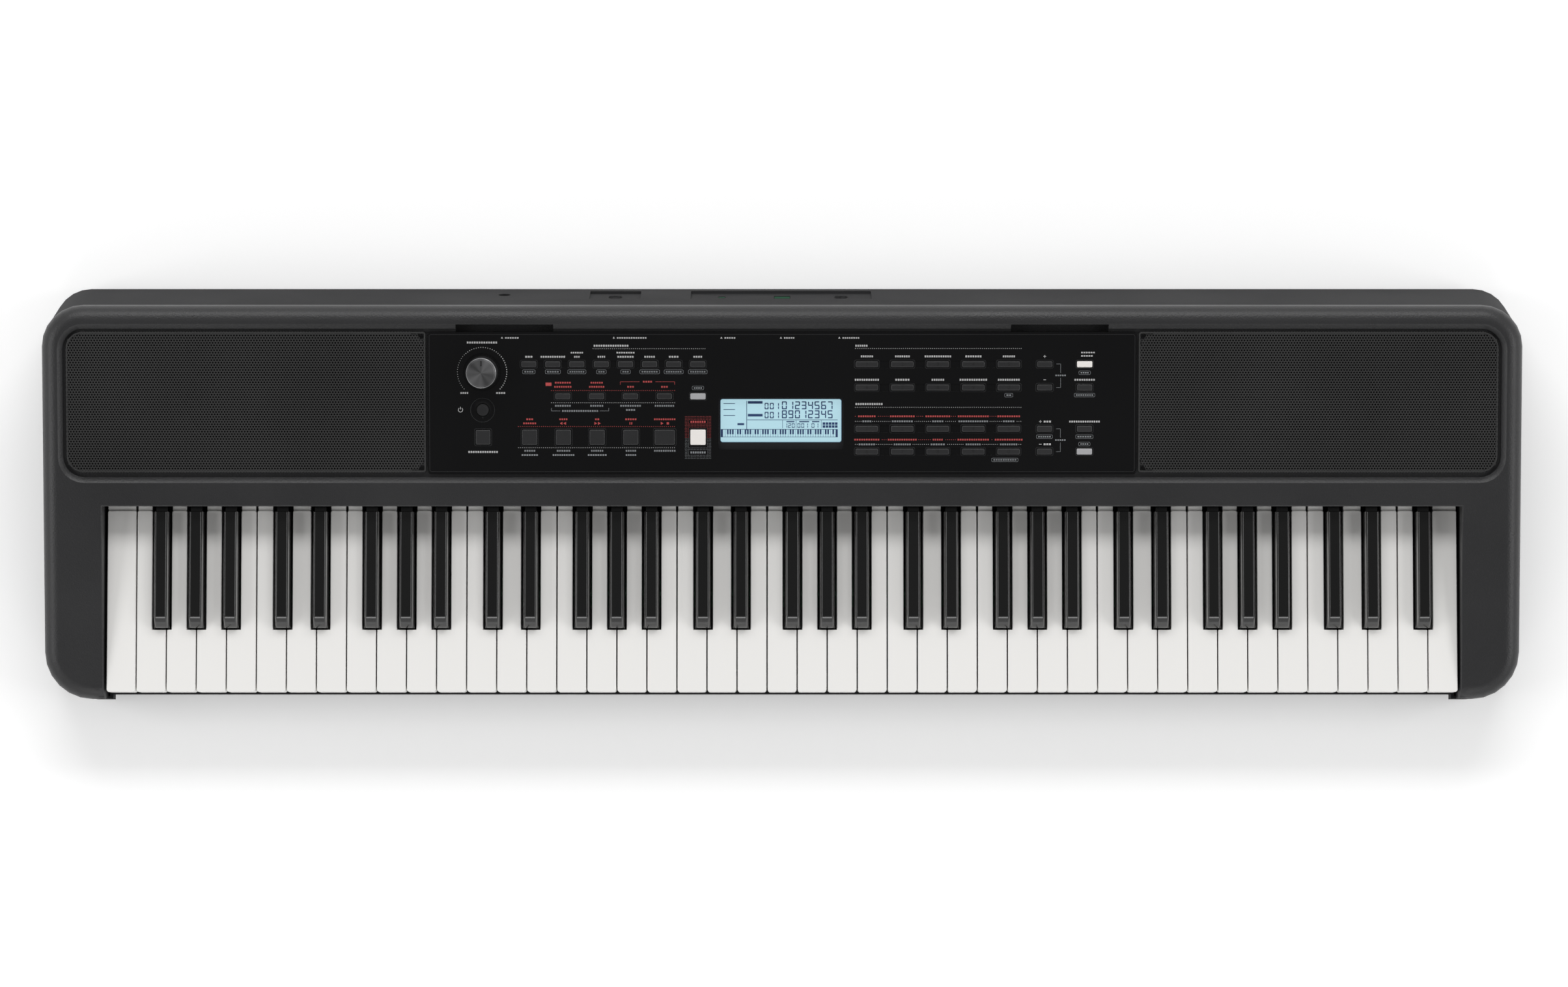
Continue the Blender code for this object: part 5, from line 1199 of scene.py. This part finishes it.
# Rules and small boxes, each as its left, front, right and rear side.
BOXES = [
    (-26.6, 59.0, -26.1, 81.9), (-26.0, 66.9, 44.5, 67.3), (-25.5, 79.8, -14.0, 81.8),
    (-25.5, 69.8, -14.0, 71.8), (4.6, 65.3, 10.8, 66.2), (14.6, 65.3, 22.3, 66.2), (24.6, 65.3, 30.3, 66.2),
    (-33.6, 63.0, -28.4, 64.6), (1.4, 60.6, 1.7, 66.9), (12.0, 60.6, 12.3, 66.9), (31.6, 60.6, 31.9, 66.9),
]
BOXES += [(-44.5, 79.6 - 4.6 * i, -35.5, 80.1 - 4.6 * i) for i in range(3)]
for i in range(5):
    BOXES += [(32.8 + 2.4 * i, v, 34.8 + 2.4 * i, v + 1.9) for v in (61.0, 63.3)]

# Figures, each line as its digits, place, step, width, height and bar.
FIGURES = [("120", 3.0, 60.9, 2.9, 2.2, 3.6, 0.5), ("001", 13.2, 60.9, 3.0, 2.2, 3.6, 0.5),
           ("01", 24.2, 60.9, 3.0, 2.2, 3.6, 0.5)]
for row_v, digits in ((75.4, "01234567"), (68.4, "89012345")):
    FIGURES += [("001", -12.4, row_v, 4.1, 3.0, 5.0, 0.75), (digits, 1.0, row_v, 5.1, 3.9, 6.2, 0.85)]

PICTURE_LEFT, PICTURE_FRONT, PICTURE_RIGHT, PICTURE_REAR = -46.0, 53.6, 44.0, 59.9
PICTURE_KEYS = 46
cell = (PICTURE_RIGHT - PICTURE_LEFT) / PICTURE_KEYS
BOXES += [
    (PICTURE_LEFT, PICTURE_FRONT, PICTURE_RIGHT, PICTURE_FRONT + 0.3),
    (PICTURE_LEFT, PICTURE_REAR - 0.4, PICTURE_RIGHT, PICTURE_REAR),
    (PICTURE_LEFT - 0.6, PICTURE_FRONT, PICTURE_LEFT + 1.0, PICTURE_REAR),
    (PICTURE_RIGHT - 1.0, PICTURE_FRONT, PICTURE_RIGHT + 0.6, PICTURE_REAR),
]
for i in range(PICTURE_KEYS):
    u = PICTURE_LEFT + cell * (i + 0.5)
    BOXES.append((u - 0.11, PICTURE_FRONT, u + 0.11, PICTURE_REAR))
    if i < len(LETTERS) - 1 and LETTERS[i] in BLACK_SHIFT:
        BOXES.append((u + cell - 0.62, PICTURE_FRONT + 2.3, u + cell + 0.62, PICTURE_REAR))

marks = [screen_box(*box) for box in BOXES]
for digits, u, v, step, width, height, bar_width in FIGURES:
    for i, digit in enumerate(digits):
        marks += figure(digit, u + step * i, v, width, height, bar_width)
piece("screen_marks", tilted(joined(marks)), screen_ink, "case")

# %% [markdown]
# Underneath, screws hold the two halves of the case together. One round head with a dimple is stamped
# on the points of three rows.

# %% Screws under the case
SCREW_PROFILE = [(0, -1.6), (0.9, -1.6), (0.9, -0.9), (3.0, -1.2), (3.3, -1.5), (3.3, 0.5), (0, 0.5)]
SCREW_X = (-540, -380, -230, -80, 30, 240, 380, 540)
SCREW_Y = (-140, 20, 132)
SCREW_Z = 5.9

screw_shapes = shape_collection("screw", [turned_mesh(SCREW_PROFILE, 24)])
screw_points = [((x * MM, y * MM, SCREW_Z * MM), 0) for x in SCREW_X for y in SCREW_Y]
screw_mesh = grown("case_screws", screw_points, STAMP, {"Shapes": screw_shapes, "Material": steel})
mesh_piece("case_screws", screw_mesh, steel, "case", (), 40)
drop_collection(screw_shapes)

# %% [markdown]
# The setting is plain: a pale floor, four soft lamps around and a sky that is darker overhead. Flat
# black faces look up into the dark part, while rounded edges catch a lamp in a thin bright line.

# %% Floor and light
FLOOR_COLOUR, FLOOR_LIFT, FLOOR_REACH = 0.97, 0.14, 6.0
LAMPS = {
    "lamp_rear": ((0, 2.5, 2.3), (3.4, 0.9), 64), "lamp_front": ((0, -2.6, 1.7), (3.2, 0.8), 22),
    "lamp_left": ((-2.7, -0.2, 1.9), (1.8, 1.0), 24), "lamp_right": ((2.7, -0.2, 1.9), (1.8, 1.0), 24),
}
SKY_LOW, SKY_HIGH = 0.62, 0.10
FADE_START, FADE_END = 0.45, 0.95


def floor_material():
    """White to the eye and in reflections, and still darker where the object shades it."""
    made, tree, shader = plain_material("floor_pale")
    ray = add(tree, "ShaderNodeLightPath").outputs
    seen = math_node(tree, "MAXIMUM", ray["Is Camera Ray"], ray["Is Glossy Ray"])
    seen = math_node(tree, "MAXIMUM", seen, ray["Is Transmission Ray"])
    fill(tree, shader, {
        "Base Color": (FLOOR_COLOUR, FLOOR_COLOUR, FLOOR_COLOUR, 1), "Roughness": 0.9,
        "Specular IOR Level": 0.1, "Emission Color": (1, 1, 1, 1),
        "Emission Strength": math_node(tree, "MULTIPLY", seen, FLOOR_LIFT)})
    return made


floor_mesh = bpy.data.meshes.new("floor")
corners = [(x * FLOOR_REACH, y * FLOOR_REACH, 0) for x, y in ((-1, -1), (1, -1), (1, 1), (-1, 1))]
floor_mesh.from_pydata(corners, [], [(0, 1, 2, 3)])
floor_mesh.materials.append(floor_material())
floor = bpy.data.objects.new("floor", floor_mesh)
bpy.context.scene.collection.objects.link(floor)

for name, (spot, size, power) in LAMPS.items():
    data = bpy.data.lights.new(name, "AREA")
    data.shape = "RECTANGLE"
    data.size, data.size_y = size
    data.energy = power
    lamp = bpy.data.objects.new(name, data)
    bpy.context.scene.collection.objects.link(lamp)
    lamp.location = spot
    lamp.rotation_euler = (Vector((0, 0, 0.05)) - Vector(spot)).to_track_quat("-Z", "Y").to_euler()

world = bpy.data.worlds.new("studio")
world.use_nodes = True
sky = world.node_tree
upward = add(sky, "ShaderNodeSeparateXYZ", {0: add(sky, "ShaderNodeTexCoord").outputs["Generated"]})
fade = add(sky, "ShaderNodeMapRange", {
    "Value": upward.outputs["Z"], "From Min": FADE_START, "From Max": FADE_END,
    "To Min": SKY_LOW, "To Max": SKY_HIGH}, interpolation_type="SMOOTHSTEP")
fill(sky, sky.nodes["Background"], {"Color": (1, 1, 1, 1), "Strength": fade.outputs["Result"]})
bpy.context.scene.world = world
bpy.context.scene.view_settings.view_transform = "Standard"
